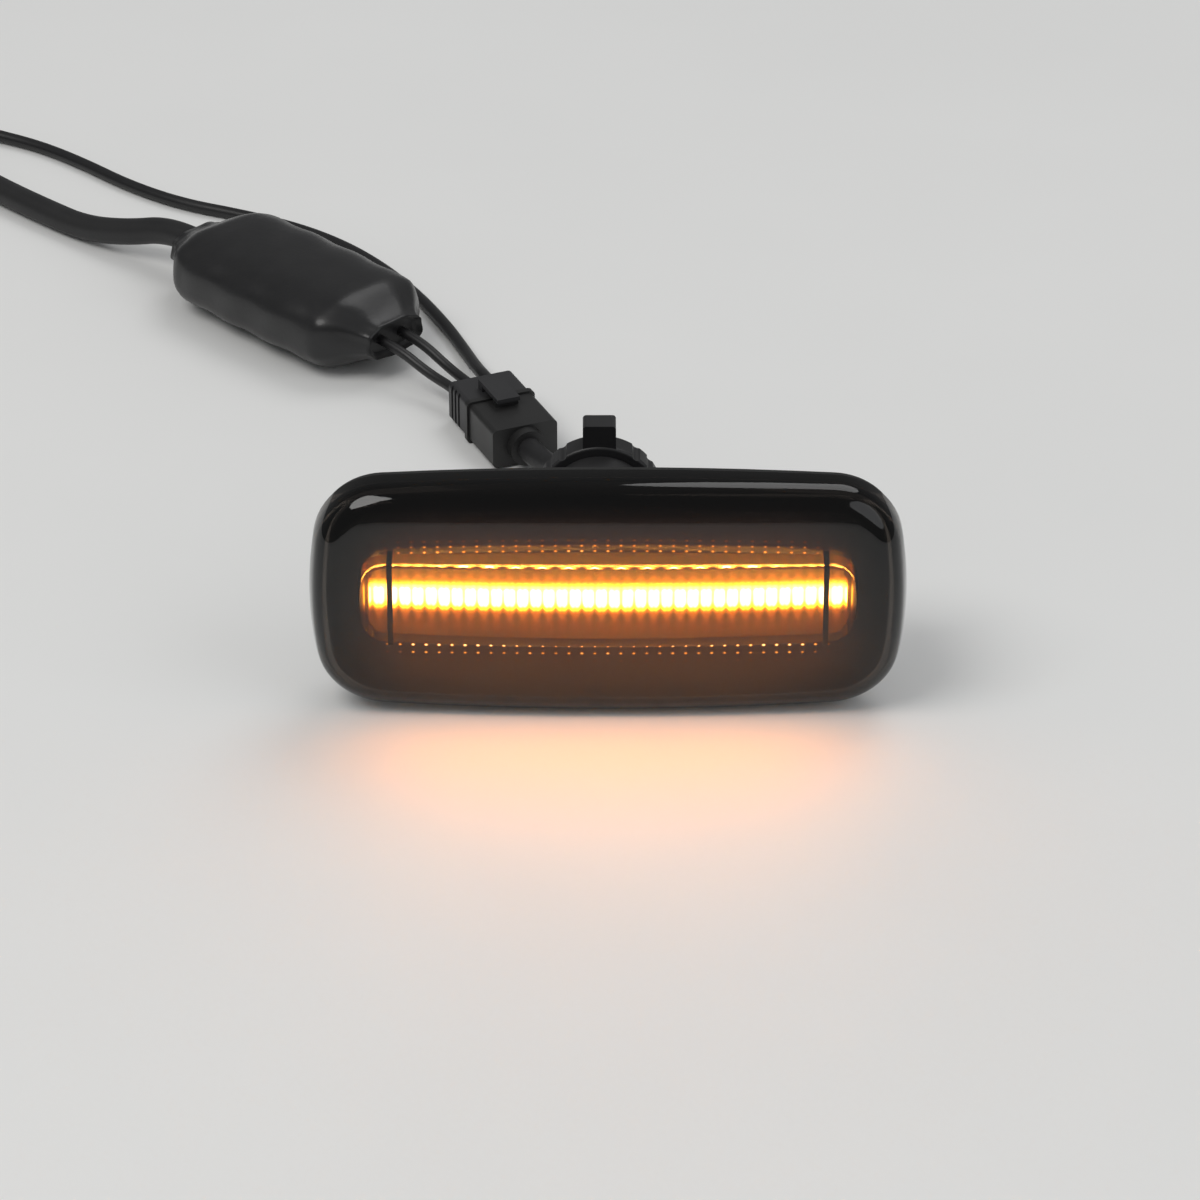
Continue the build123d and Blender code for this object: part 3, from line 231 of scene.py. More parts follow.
def make_glow_group():
    """Amber light in a band along the lamp, palest in the middle and striped by the flutes."""
    group, given, result = new_group(
        "amber band",
        [
            ("Vector", "NodeSocketVector", None),
            ("Rise", "NodeSocketFloat", 0.0),
            ("Core", "NodeSocketFloat", 1.6),
            ("Reach", "NodeSocketFloat", 3.4),
            ("Length", "NodeSocketFloat", 40.0),
            ("Stripes", "NodeSocketFloat", 0.2),
            ("Gap", "NodeSocketFloat", 0.0),
        ],
        [("Color", "NodeSocketColor")],
    )
    along, _, up = in_millimetres(group, given.outputs["Vector"])
    height = arithmetic(group, "ABSOLUTE", arithmetic(group, "SUBTRACT", up, given.outputs["Rise"]))
    core = fading(group, height, given.outputs["Core"], given.outputs["Reach"])
    lines = periodic(group, arithmetic(group, "ADD", along, FLUTE_PITCH / 2), FLUTE_PITCH, 3.0)
    veil = arithmetic(group, "MULTIPLY_ADD", lines, 0.17, 0.46)
    halo = arithmetic(group, "MULTIPLY", fading(group, height, given.outputs["Core"], HALO_TOP), veil)
    light_level = arithmetic(group, "MAXIMUM", core, halo)
    side = arithmetic(group, "ABSOLUTE", along)
    end = arithmetic(group, "SUBTRACT", given.outputs["Length"], side)
    end = arithmetic(group, "MINIMUM", arithmetic(group, "MAXIMUM", end, 0.0), 1.0)
    gap = arithmetic(group, "ABSOLUTE", arithmetic(group, "SUBTRACT", side, END_GAP))
    gap = arithmetic(group, "MULTIPLY", fading(group, gap, 0.1, 0.45), given.outputs["Gap"])
    end = arithmetic(group, "MULTIPLY", end, arithmetic(group, "SUBTRACT", 1.0, gap))
    wander = noise(group, given.outputs["Vector"], 330.0, 1.0)
    wave = arithmetic(group, "MULTIPLY_ADD", wander, 0.9, periodic(group, along, FLUTE_PITCH, 2.5))
    wave = arithmetic(group, "MULTIPLY_ADD", periodic(group, along, FLUTE_PITCH / 2, 2.0), 0.3, wave)
    deeper = arithmetic(group, "MULTIPLY_ADD", core, -2.5, 3.5)
    depth = arithmetic(group, "MULTIPLY", given.outputs["Stripes"], deeper)
    stripe = arithmetic(group, "SUBTRACT", 1.0, arithmetic(group, "MULTIPLY", depth, wave))
    level = arithmetic(group, "MULTIPLY", arithmetic(group, "MULTIPLY", light_level, end), stripe)
    group.links.new(light_level_ramp(group, level), result.inputs["Color"])
    return group


def make_spill_group():
    """Light that the flutes throw on the bezel: a brown veil, and a dot on each step for each flute."""
    group, given, result = new_group(
        "spilt light", [("Vector", "NodeSocketVector", None)], [("Color", "NodeSocketColor")]
    )
    along, _, up = in_millimetres(group, given.outputs["Vector"])
    across = arithmetic(group, "ABSOLUTE", along)
    bulge = arithmetic(group, "POWER", arithmetic(group, "DIVIDE", across, BAR_HALF), 2.0)
    height = arithmetic(group, "MULTIPLY_ADD", bulge, BAR_EDGE_SAG, arithmetic(group, "ABSOLUTE", up))
    side = fading(group, across, 30.0, 44.0)
    near = arithmetic(group, "MULTIPLY", fading(group, height, 6.0, 19.0), side)
    step = periodic(group, arithmetic(group, "SUBTRACT", height, STEP_EDGE), STEP_PITCH, 3.0)
    column = periodic(group, along, FLUTE_PITCH, 4.0)
    patchy = noise(group, given.outputs["Vector"], 420.0, 2.0, 0.6)
    patchy = arithmetic(group, "MULTIPLY_ADD", patchy, 0.5, 0.25)
    dots = arithmetic(group, "MULTIPLY", arithmetic(group, "MULTIPLY", step, column), patchy)
    dots = arithmetic(group, "MULTIPLY", dots, fading(group, height, 9.4, 13.5))
    lines = arithmetic(group, "MULTIPLY", column, fading(group, height, 7.0, 12.5))
    veil = arithmetic(group, "MULTIPLY_ADD", lines, 0.08, 0.27)
    power = arithmetic(group, "MULTIPLY_ADD", fading(group, up, -1.0, 1.0), 0.95, 1.15)
    level = arithmetic(group, "MULTIPLY", arithmetic(group, "MULTIPLY_ADD", dots, power, veil), near)
    group.links.new(light_level_ramp(group, level), result.inputs["Color"])
    return group


def make_painted_reflection_group():
    """Painted reflections of the LEDs: bright dashes along the light bar's upper corner, one for each LED."""
    group, given, result = new_group(
        "painted LED reflections",
        [("Vector", "NodeSocketVector", None), ("Band", "NodeSocketColor", (0.0, 0.0, 0.0, 1.0))],
        [("Color", "NodeSocketColor")],
    )
    along, back, up = in_millimetres(group, given.outputs["Vector"])
    height = arithmetic(group, "ABSOLUTE", arithmetic(group, "SUBTRACT", up, PAINTED_REFLECTION_RISE))
    row = fading(group, height, 0.05, 0.3)
    squared = arithmetic(group, "MULTIPLY", along, along)
    face = arithmetic(group, "MULTIPLY_ADD", squared, -1 / (2 * BAR_CROWN), BAR_FRONT)
    front = fading(group, arithmetic(group, "ADD", back, face), 0.45, 0.75)
    # painted reflection: one bright dash for each LED
    painted_dash = periodic(group, arithmetic(group, "ADD", along, LED_PITCH / 2), LED_PITCH, 0.45)
    side = fading(group, arithmetic(group, "ABSOLUTE", along), 26.0, 34.0)
    level = arithmetic(group, "MULTIPLY", arithmetic(group, "MULTIPLY", row, front), side)
    level = arithmetic(group, "MULTIPLY", level, painted_dash)
    node = group.nodes.new("ShaderNodeMix")
    node.data_type = "RGBA"
    node.blend_type = "ADD"
    node.inputs["Factor"].default_value = 1.0
    group.links.new(given.outputs["Band"], node.inputs[6])
    group.links.new(light_level_ramp(group, level), node.inputs[7])
    group.links.new(node.outputs[2], result.inputs["Color"])
    return group


def make_smoke_and_rim_shade_group():
    """Smoke tint, paler in the middle of the lens, with painted shade that deepens it towards the rim."""
    group, given, result = new_group(
        "smoke tint and painted rim shade", [("Vector", "NodeSocketVector", None)], [("Color", "NodeSocketColor")]
    )
    along, _, up = in_millimetres(group, given.outputs["Vector"])
    ends = arithmetic(group, "DIVIDE", arithmetic(group, "ABSOLUTE", along), LAMP["length"] / 2)
    edges = arithmetic(group, "DIVIDE", arithmetic(group, "ABSOLUTE", up), LAMP["height"] / 2)
    ends = arithmetic(group, "POWER", ends, 5.0)
    edges = arithmetic(group, "POWER", edges, 3.0)
    rim = fading(group, arithmetic(group, "ADD", ends, edges), 0.10, 0.85)
    # the dark colour towards the rim is painted shade; the paler one is the smoke's tint in the middle
    group.links.new(mixed(group, rim, (0.050, 0.042, 0.036), (0.36, 0.31, 0.27)), result.inputs["Color"])
    return group


GRAIN = make_grain_group()
DUST = make_dust_group()
GLOW = make_glow_group()
SPILL = make_spill_group()
# painted reflections of the LEDs, added to the light bar's own light
PAINTED_LED_REFLECTIONS = make_painted_reflection_group()
# smoke tint, with painted shade towards the lens's rim
SMOKE_AND_RIM_SHADE = make_smoke_and_rim_shade_group()


def start_material(name):
    """A material with its node tree, its Principled shader and Object coordinates."""
    material = bpy.data.materials.new(name)
    material.use_nodes = True
    tree = material.node_tree
    shader = tree.nodes["Principled BSDF"]
    place = tree.nodes.new("ShaderNodeTexCoord").outputs["Object"]
    return material, tree, shader, place


def add_group(tree, group, **values):
    node = tree.nodes.new("ShaderNodeGroup")
    node.node_tree = group
    for label, value in values.items():
        if isinstance(value, (int, float)):
            node.inputs[label].default_value = value
        elif isinstance(value, (tuple, list)):
            node.inputs[label].default_value = (*value, 1.0)
        else:
            tree.links.new(value, node.inputs[label])
    return node


def add_bump(tree, shader, height, strength, depth):
    bump = tree.nodes.new("ShaderNodeBump")
    bump.inputs["Strength"].default_value = strength
    bump.inputs["Distance"].default_value = depth * MM
    tree.links.new(height, bump.inputs["Height"])
    tree.links.new(bump.outputs["Normal"], shader.inputs["Normal"])


def plain_finish(
    name, colour, rough, spread=0.08, scale=3000.0, depth=0.05, strength=0.25, dust=0.05,
    metal=0.0, coat=0.0, glow=None, power=1.0,
):
    """Moulded plastic, rubber, foam or metal: grain, wandering roughness, a little dust, any light on it."""
    material, tree, shader, place = start_material(name)
    grain = add_group(tree, GRAIN, Vector=place, Scale=scale, Roughness=rough, Spread=spread)
    normal = tree.nodes.new("ShaderNodeNewGeometry").outputs["Normal"]
    dusty = add_group(tree, DUST, Vector=place, Normal=normal, Base=colour, Amount=dust)
    tree.links.new(dusty.outputs["Color"], shader.inputs["Base Color"])
    tree.links.new(
        arithmetic(tree, "MULTIPLY_ADD", dusty.outputs["Mask"], 0.6, grain.outputs["Roughness"]),
        shader.inputs["Roughness"],
    )
    shader.inputs["Metallic"].default_value = metal
    shader.inputs["Coat Weight"].default_value = coat
    if glow:
        light = add_group(tree, glow, Vector=place)
        tree.links.new(light.outputs["Color"], shader.inputs["Emission Color"])
        shader.inputs["Emission Strength"].default_value = power
    add_bump(tree, shader, grain.outputs["Height"], strength, depth)
    return material


def smoked_lens_finish():
    """Smoked acrylic: clear, tinted, with painted shade that darkens the tint towards the rim, faint moulding
    waves and fine dust that dulls it.
    """
    material, tree, shader, place = start_material("smoked lens")
    grain = add_group(tree, GRAIN, Vector=place, Scale=60.0, Roughness=0.03, Spread=0.02)
    tree.links.new(add_group(tree, SMOKE_AND_RIM_SHADE, Vector=place).outputs["Color"], shader.inputs["Base Color"])
    shader.inputs["Transmission Weight"].default_value = 1.0
    shader.inputs["IOR"].default_value = 1.49
    shader.inputs["Specular IOR Level"].default_value = 0.22
    tree.links.new(grain.outputs["Roughness"], shader.inputs["Roughness"])
    add_bump(tree, shader, grain.outputs["Height"], 0.02, 0.1)
    return material


def light_bar_finish():
    """Frosted acrylic that carries the amber light in a band, with painted reflections of the LEDs as dashes
    along its upper corner.
    """
    material, tree, shader, place = start_material("fluted light bar")
    band = add_group(
        tree, GLOW, Vector=place, Rise=1.6, Core=1.0, Reach=4.7, Length=BAR_HALF, Stripes=0.1, Gap=0.8
    )
    glow = add_group(tree, PAINTED_LED_REFLECTIONS, Vector=place, Band=band.outputs["Color"])
    grain = add_group(tree, GRAIN, Vector=place, Scale=700.0, Roughness=0.2, Spread=0.05)
    shader.inputs["Base Color"].default_value = (0.62, 0.42, 0.16, 1.0)
    shader.inputs["Transmission Weight"].default_value = 0.75
    shader.inputs["IOR"].default_value = 1.49
    tree.links.new(grain.outputs["Roughness"], shader.inputs["Roughness"])
    tree.links.new(glow.outputs["Color"], shader.inputs["Emission Color"])
    shader.inputs["Emission Strength"].default_value = 26.0
    return material


def led_finish():
    """Lit LED package, hot in its cup and amber on its body."""
    material, tree, shader, place = start_material("lit amber LED")
    glow = add_group(tree, GLOW, Vector=place, Core=1.2, Reach=2.2, Length=41.0, Stripes=0.0)
    grain = add_group(tree, GRAIN, Vector=place, Scale=2500.0, Roughness=0.35, Spread=0.08)
    shader.inputs["Base Color"].default_value = (0.8, 0.5, 0.15, 1.0)
    tree.links.new(grain.outputs["Roughness"], shader.inputs["Roughness"])
    tree.links.new(glow.outputs["Color"], shader.inputs["Emission Color"])
    shader.inputs["Emission Strength"].default_value = 6.0
    return material


def board_finish():
    """Solder resist over glass fibre, with the LEDs' light spilt along the row."""
    material, tree, shader, place = start_material("lamp board resist")
    weave = tree.nodes.new("ShaderNodeTexChecker")
    weave.inputs["Scale"].default_value = 2500.0
    tree.links.new(place, weave.inputs["Vector"])
    colour = mixed(tree, weave.outputs["Fac"], (0.022, 0.098, 0.048), (0.018, 0.085, 0.04))
    tree.links.new(colour, shader.inputs["Base Color"])
    shader.inputs["Roughness"].default_value = 0.32
    glow = add_group(tree, GLOW, Vector=place, Core=1.0, Reach=6.5, Length=41.0, Stripes=0.0)
    tree.links.new(glow.outputs["Color"], shader.inputs["Emission Color"])
    shader.inputs["Emission Strength"].default_value = 1.2
    return material


FINISH = {
    "bezel": plain_finish(
        "gloss black bezel", (0.006, 0.005, 0.005), 0.16, spread=0.04, scale=2600.0, depth=0.01,
        strength=0.03, dust=0.0, coat=0.2, glow=SPILL, power=8.0,
    ),
    "clip": plain_finish("bar clip plastic", (0.010, 0.007, 0.005), 0.45, scale=2600.0, dust=0.0),
    "housing": plain_finish(
        "grained housing", (0.013, 0.013, 0.014), 0.5, scale=2400.0, depth=0.06, strength=0.4, dust=0.06
    ),
    "gasket": plain_finish(
        "closed cell foam", (0.016, 0.016, 0.016), 0.93, scale=1700.0, depth=0.22, strength=0.9, dust=0.08
    ),
    "spring": plain_finish(
        "sprung steel strip", (0.55, 0.55, 0.54), 0.28, spread=0.12, scale=700.0, depth=0.01, strength=0.1,
        dust=0.0, metal=1.0,
    ),
    "cap": plain_finish(
        "satin rear cap", (0.011, 0.011, 0.012), 0.42, scale=2800.0, depth=0.04, strength=0.3, dust=0.05
    ),
    "seal": plain_finish("nitrile seal", (0.02, 0.02, 0.02), 0.45, scale=1500.0, dust=0.02),
    "grommet": plain_finish("soft grommet rubber", (0.012, 0.012, 0.012), 0.6, scale=2100.0, dust=0.06),
    "screw": plain_finish(
        "bright zinc", (0.62, 0.62, 0.60), 0.3, spread=0.1, scale=1200.0, depth=0.01, dust=0.0, metal=1.0
    ),
    "chip": plain_finish("moulded epoxy", (0.02, 0.02, 0.022), 0.5, scale=3500.0, dust=0.02),
    "resistor": plain_finish("glazed ceramic", (0.05, 0.05, 0.055), 0.25, scale=1500.0, dust=0.02),
    "can": plain_finish(
        "aluminium can", (0.72, 0.73, 0.74), 0.3, spread=0.1, scale=800.0, depth=0.01, dust=0.0, metal=1.0
    ),
    "insulation": plain_finish(
        "strand insulation", (0.009, 0.009, 0.010), 0.4, spread=0.1, scale=900.0, depth=0.05, dust=0.04
    ),
    "jacket": plain_finish(
        "cable jacket", (0.010, 0.010, 0.011), 0.46, spread=0.12, scale=1300.0, depth=0.08, strength=0.35,
        dust=0.06,
    ),
    "socket": plain_finish("socket moulding", (0.012, 0.012, 0.012), 0.42, scale=2600.0, dust=0.05),
    "inline": plain_finish("in-line plug moulding", (0.022, 0.022, 0.024), 0.43, scale=2600.0, dust=0.05),
    "sleeve": plain_finish(
        "shrink sleeve", (0.008, 0.008, 0.009), 0.36, spread=0.12, scale=420.0, depth=0.12, strength=0.35,
        dust=0.05, coat=0.1,
    ),
    "module board": plain_finish("module board resist", (0.03, 0.12, 0.06), 0.35, scale=2000.0, dust=0.0),
    "ferrite": plain_finish("ferrite coil", (0.08, 0.075, 0.075), 0.45, scale=1800.0, dust=0.0),
    "plug": plain_finish("vehicle plug moulding", (0.014, 0.014, 0.015), 0.45, scale=2500.0, dust=0.05),
    "lock": plain_finish("natural lock plastic", (0.55, 0.52, 0.45), 0.42, scale=2400.0, dust=0.05),
    "terminal": plain_finish(
        "tinned blade", (0.72, 0.70, 0.66), 0.3, spread=0.1, scale=900.0, depth=0.01, dust=0.0, metal=1.0
    ),
    "lens": smoked_lens_finish(),
    "light": light_bar_finish(),
    "led": led_finish(),
    "board": board_finish(),
}

CAD_FINISH = {
    "led_board": "board",
    "driver_chip": "chip",
    "input_diode": "chip",
    "resistors": "resistor",
    "bar_clip_left": "clip",
    "bar_clip_right": "clip",
    "module_board": "module board",
    "module_chip": "chip",
    "plug_lock": "lock",
    **{f"plug_terminal_{i}": "terminal" for i in (1, 2, 3)},
    **{f"led_{i:02d}": "led" for i in range(1, 19)},
}

# Nodes whose curved faces are shaded smooth on a merged copy: finish, record slot, sharpest soft angle
SMOOTHED = {
    "bezel": ("bezel", "bezel_black", 35),
    "light_bar": ("light", "light_guide", 28),
    "housing": ("housing", "housing_black", 32),
    "gasket": ("gasket", "gasket_foam", 35),
    "spring_clip": ("spring", "spring_steel", 35),
    "rear_cap": ("cap", "cap_black", 32),
    "cap_seal": ("seal", "seal_rubber", 60),
    "cable_grommet": ("grommet", "grommet_rubber", 35),
    "board_screws": ("screw", "screw_steel", 35),
    "capacitor": ("can", "capacitor_can", 35),
    "inner_leads": ("insulation", "wire_insulation", 60),
    "inline_socket": ("socket", "connector_black", 35),
    "inline_plug": ("inline", "connector_grey", 35),
    "module_choke": ("ferrite", "choke_ferrite", 35),
    "plug_boot": ("grommet", "grommet_rubber", 35),
    "vehicle_plug": ("plug", "connector_black", 35),
}


def node_object(name):
    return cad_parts[name]


def dress(thing, finish):
    thing.data.materials.clear()
    thing.data.materials.append(FINISH[finish])


def finish_cad_nodes():
    for name, finish in CAD_FINISH.items():
        thing = node_object(name)
        for material_slot in thing.material_slots:
            material_slot.material = FINISH[finish]


def add_piece(name, mesh, finish, node=None, body="root"):
    """Put a finished mesh in the scene as a piece of the lamp, in place of a CAD node if one is named."""
    thing = bpy.data.objects.new(name, mesh)
    bpy.context.collection.objects.link(thing)
    dress(thing, finish)
    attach(thing, body)
    if node:
        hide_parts(node)
    return thing


def shade_smooth(bm, angle):
    """Shade every face smooth, apart from edges as sharp as an angle."""
    for face in bm.faces:
        face.smooth = True
    for edge in bm.edges:
        edge.smooth = edge.is_manifold and edge.calc_face_angle(math.pi) < math.radians(angle)


def smoothed_copy(node, finish, slot, angle):
    """A copy of a CAD node's mesh, merged and shaded smooth up to an angle."""
    bm = bmesh.new()
    bm.from_mesh(node_object(node).data)
    bmesh.ops.remove_doubles(bm, verts=bm.verts, dist=2e-6)
    bmesh.ops.dissolve_degenerate(bm, edges=bm.edges, dist=1e-7)
    shade_smooth(bm, angle)
    mesh = bpy.data.meshes.new(node.replace("_", " ").title().replace(" ", "_"))
    bm.to_mesh(mesh)
    bm.free()
    piece = add_piece(mesh.name, mesh, finish, node)
    normals = piece.modifiers.new("even normals", "WEIGHTED_NORMAL")
    normals.keep_sharp = True
    return piece


# The smoked lens


def crossing(low, side):
    """Where two circles, each a centre on an axis and a radius, cross in the first quadrant."""
    (a, reach_a), (b, reach_b) = low, side
    apart = math.hypot(a, b)
    along = (apart**2 + reach_a**2 - reach_b**2) / (2 * apart)
    off = math.sqrt(reach_a**2 - along**2)
    sign = 1 if b * off < -a * along else -1
    return abs((b * along - sign * a * off) / apart), abs(a + (-a * along - sign * b * off) / apart)


class Rim:
    """Outline of four shallow arcs with rounded corners; each spoke has a point and a normal."""

    def __init__(self, length, height, corner, end_sag, edge_sag):
        end, edge = length / 2, height / 2
        edge_arc = ((end - end_sag) ** 2 + edge_sag**2) / (2 * edge_sag)
        end_arc = ((edge - edge_sag) ** 2 + end_sag**2) / (2 * end_sag)
        self.low, self.side = edge - edge_arc, end - end_arc
        self.edge_arc, self.end_arc, self.corner = edge_arc, end_arc, corner
        self.knuckle = crossing((self.low, edge_arc - corner), (self.side, end_arc - corner))
        kx, ky = self.knuckle
        self.top_turn = math.atan2(ky - self.low, kx)
        self.end_turn = math.atan2(ky, kx - self.side)
        self.spokes = 4 * (EDGE_SPOKES + CORNER_SPOKES + END_SPOKES)

    def quadrant(self, step):
        """Point and normal in the first quadrant, from the right end's middle to the top's middle."""
        if step < END_SPOKES:
            turn = self.end_turn * step / END_SPOKES
            centre, reach = (self.side, 0.0), self.end_arc
        elif step < END_SPOKES + CORNER_SPOKES:
            share = (step - END_SPOKES) / CORNER_SPOKES
            turn = self.end_turn + (self.top_turn - self.end_turn) * share
            centre, reach = self.knuckle, self.corner
        else:
            share = (step - END_SPOKES - CORNER_SPOKES) / EDGE_SPOKES
            turn = self.top_turn + (math.pi / 2 - self.top_turn) * share
            centre, reach = (0.0, self.low), self.edge_arc
        way = (math.cos(turn), math.sin(turn))
        return (centre[0] + reach * way[0], centre[1] + reach * way[1]), way

    def spot(self, spoke, inset=0.0):
        """A spoke's point, drawn in by inset along its normal."""
        quarter = self.spokes // 4
        part, step = divmod(spoke % self.spokes, quarter)
        flip = part % 2
        (x, y), (a, b) = self.quadrant(quarter - step if flip else step)
        sx, sy = ((1, 1), (-1, 1), (-1, -1), (1, -1))[part]
        return Vector((sx * (x - inset * a), sy * (y - inset * b)))


def crown_level(x, y, inset):
    """Height of the lens's double-curved front, or of its inner face when drawn in."""
    across = math.sqrt((CROWN_TALL - inset) ** 2 - y * y) - CROWN_TALL + LENS_TOP
    hinge = LENS_TOP - CROWN_LONG
    return hinge + math.sqrt((across - hinge) ** 2 - x * x)


def start_loop(bm, spokes):
    """A ring of vertices, each of which knows its spoke; returns the ring's edges."""
    tag = bm.verts.layers.int.new("spoke")
    made = bmesh.ops.create_circle(bm, cap_ends=False, segments=spokes, radius=1.0)["verts"]
    bm.verts.index_update()
    for i, vert in enumerate(made):
        vert[tag] = i
    return tag, list({edge for vert in made for edge in vert.link_edges})


def place_loop(edges, tag, rule):
    for vert in {vert for edge in edges for vert in edge.verts}:
        vert.co = rule(vert[tag])


def draw_out(bm, edges, tag, rule):
    """Extrude a ring of edges and put each new vertex where the rule says; returns the new ring."""
    made = bmesh.ops.extrude_edge_only(bm, edges=edges)["geom"]
    fresh = {item for item in made if isinstance(item, bmesh.types.BMVert)}
    for vert in fresh:
        vert.co = rule(vert[tag])
    return [item for item in made if isinstance(item, bmesh.types.BMEdge) and set(item.verts) <= fresh]


def at(rim, inset, level):
    """Rule that puts a spoke's vertex on the outline, drawn in by inset, at one level."""
    return lambda spoke: Vector((*rim.spot(spoke, inset), level))


def lens_face(bm, edges, tag, rim, inset, rounding):
    """Skirt ring to closed crown: leaning side, rounded shoulder and crown; drawn in by inset."""
    reach = rounding * math.tan(HALF_SHOULDER)
    weight = math.cos(HALF_SHOULDER)

    def corner(spoke):
        """Where the leaning side would meet the crown, and how far in that is."""
        drawn, level = inset, SKIRT_TOP
        for _ in range(12):
            x, y = rim.spot(spoke, drawn)
            level = crown_level(x, y, inset)
            drawn = inset + (level - SKIRT_TOP) * LENS_LEAN
        return Vector((x, y, level)), drawn

    def on_crown(spoke, drawn):
        x, y = rim.spot(spoke, drawn)
        return Vector((x, y, crown_level(x, y, inset)))

    def shoulder(share):
        """A share of the way round the arc from the side to the crown."""

        def rule(spoke):
            sharp, drawn = corner(spoke)
            foot = Vector((*rim.spot(spoke, inset), SKIRT_TOP))
            low = sharp + (foot - sharp).normalized() * reach
            high = on_crown(spoke, drawn + reach)
            a, b, c = (1 - share) ** 2, 2 * weight * share * (1 - share), share**2
            return (a * low + b * sharp + c * high) / (a + b + c)

        return rule

    def inward(share):
        """A share of the way from the shoulder to the crown's middle line."""

        def rule(spoke):
            edge = on_crown(spoke, corner(spoke)[1] + reach)
            half = LAMP["length"] / 2 - LAMP["height"] / 2 - CROWN_SHORTER
            middle = Vector((max(-half, min(half, edge.x)), 0.0))
            x, y = middle + (edge.xy - middle) * (1 - share)
            return Vector((x, y, crown_level(x, y, inset)))

        return rule

    edges = draw_out(bm, edges, tag, at(rim, inset, SKIRT_TOP))
    for i in range(SHOULDER_RINGS):
        edges = draw_out(bm, edges, tag, shoulder(i / (SHOULDER_RINGS - 1)))
    for i in range(1, CROWN_RINGS + 1):
        edges = draw_out(bm, edges, tag, inward(i / CROWN_RINGS))


def make_lens():
    rim = Rim(**LAMP)
    bm = bmesh.new()
    tag, ring = start_loop(bm, rim.spokes)
    place_loop(ring, tag, at(rim, 0.0, SKIRT_FOOT))
    outer_foot = list(ring)
    lens_face(bm, ring, tag, rim, 0.0, LENS_ROUND)
    step = draw_out(bm, outer_foot, tag, at(rim, SKIRT_WALL, SKIRT_FOOT))
    step = draw_out(bm, step, tag, at(rim, SKIRT_WALL, FLANGE_FRONT))
    step = draw_out(bm, step, tag, at(rim, LENS_WALL, FLANGE_FRONT))
    lens_face(bm, step, tag, rim, LENS_WALL, INNER_ROUND)
    bmesh.ops.remove_doubles(bm, verts=bm.verts, dist=LENS_CLOSED)
    bmesh.ops.recalc_face_normals(bm, faces=bm.faces)
    shade_smooth(bm, SOFT_ANGLE)
    bmesh.ops.transform(bm, matrix=UPRIGHT, verts=bm.verts)
    mesh = bpy.data.meshes.new("Smoked_Lens")
    bm.to_mesh(mesh)
    bm.free()
    return add_piece("Smoked_Lens", mesh, "lens", "outer_lens")


# The sleeved module

MODULE_AT = Vector((-39.2, 113.7, TABLE + 7.9))
MODULE_WAY = Vector((-0.70, 0.7141, 0.0)).normalized()
MODULE_LENGTH = 57.0
SLEEVE_SPOKES, SLEEVE_RINGS = 64, 60
SLEEVE_MOUTH = (6.9, 3.45)  # half width and half height at its ends
SLEEVE_SWELL = (7.0, 4.2)  # what its middle adds to them
SLEEVE_TAPER = 9.5
SQUARENESS = 2.0 / 2.7  # power that makes the round section squarer
FOLDS = 9
FOLD_REACH = 13.0  # how far the folds run in from each end
FOLD_DEPTH = 0.055
RIPPLE_DEPTH = 0.012
LIP_TUCK = 1.6


def laid(spot, way):
    """Matrix that lays a piece drawn along X at a spot on the table, heading one way."""
    left = Vector((0, 0, 1)).cross(way)
    turn = Matrix((way, left, (0, 0, 1))).transposed().to_4x4()
    return IN_PLACE @ Matrix.Translation(spot) @ turn


def sleeve_half(along):
    """Half width and half height of the sleeve at a distance from its near end."""
    swell = min(1.0, min(along, MODULE_LENGTH - along) / SLEEVE_TAPER)
    swell = swell * swell * (3 - 2 * swell)
    body = 1.0 - 0.1 * ((along - MODULE_LENGTH / 2) / (MODULE_LENGTH / 2)) ** 2
    return [mouth + gain * swell * body for mouth, gain in zip(SLEEVE_MOUTH, SLEEVE_SWELL)]


def make_sleeve():
    """Shrink sleeve, pulled in at both ends, with folds there and the circuit's edges showing through."""
    bm = bmesh.new()
    tag, ring = start_loop(bm, SLEEVE_SPOKES)

    def rule(along):
        half_width, half_height = sleeve_half(along)
        near_end = max(0.0, 1.0 - min(along, MODULE_LENGTH - along) / FOLD_REACH)

        def place(spoke):
            turn = math.tau * spoke / SLEEVE_SPOKES
            c, s = math.cos(turn), math.sin(turn)
            y = half_width * math.copysign(abs(c) ** SQUARENESS, c)
            z = half_height * math.copysign(abs(s) ** SQUARENESS, s)
            crease = 0.5 + 0.5 * math.sin(FOLDS * turn + 0.6 * math.sin(along))
            fold = 1.0 - FOLD_DEPTH * near_end * crease
            ripple = 1.0 - RIPPLE_DEPTH * (1 + math.sin(along * 0.55 + 2.0 * math.sin(turn * 2)))
            return Vector((along, y * fold * ripple, z * fold * ripple))

        return place

    place_loop(ring, tag, rule(0.0))
    near = list(ring)
    for i in range(1, SLEEVE_RINGS + 1):
        ring = draw_out(bm, ring, tag, rule(MODULE_LENGTH * i / SLEEVE_RINGS))
    for edges, depth in ((near, LIP_TUCK), (ring, MODULE_LENGTH - LIP_TUCK)):
        inner = bmesh.ops.extrude_edge_only(bm, edges=edges)["geom"]
        verts = {item for item in inner if isinstance(item, bmesh.types.BMVert)}
        for vert in verts:
            vert.co = Vector((depth, vert.co.y * 0.82, vert.co.z * 0.78))
        rest = [item for item in inner if isinstance(item, bmesh.types.BMEdge) and set(item.verts) <= verts]
        bmesh.ops.holes_fill(bm, edges=rest)
    bmesh.ops.recalc_face_normals(bm, faces=bm.faces)
    for face in bm.faces:
        face.smooth = len(face.verts) == 4
    bmesh.ops.transform(bm, matrix=laid(MODULE_AT, MODULE_WAY), verts=bm.verts)
    mesh = bpy.data.meshes.new("Module_Sleeve")
    bm.to_mesh(mesh)
    bm.free()
    return add_piece("Module_Sleeve", mesh, "sleeve", "module_sleeve")


# Cords

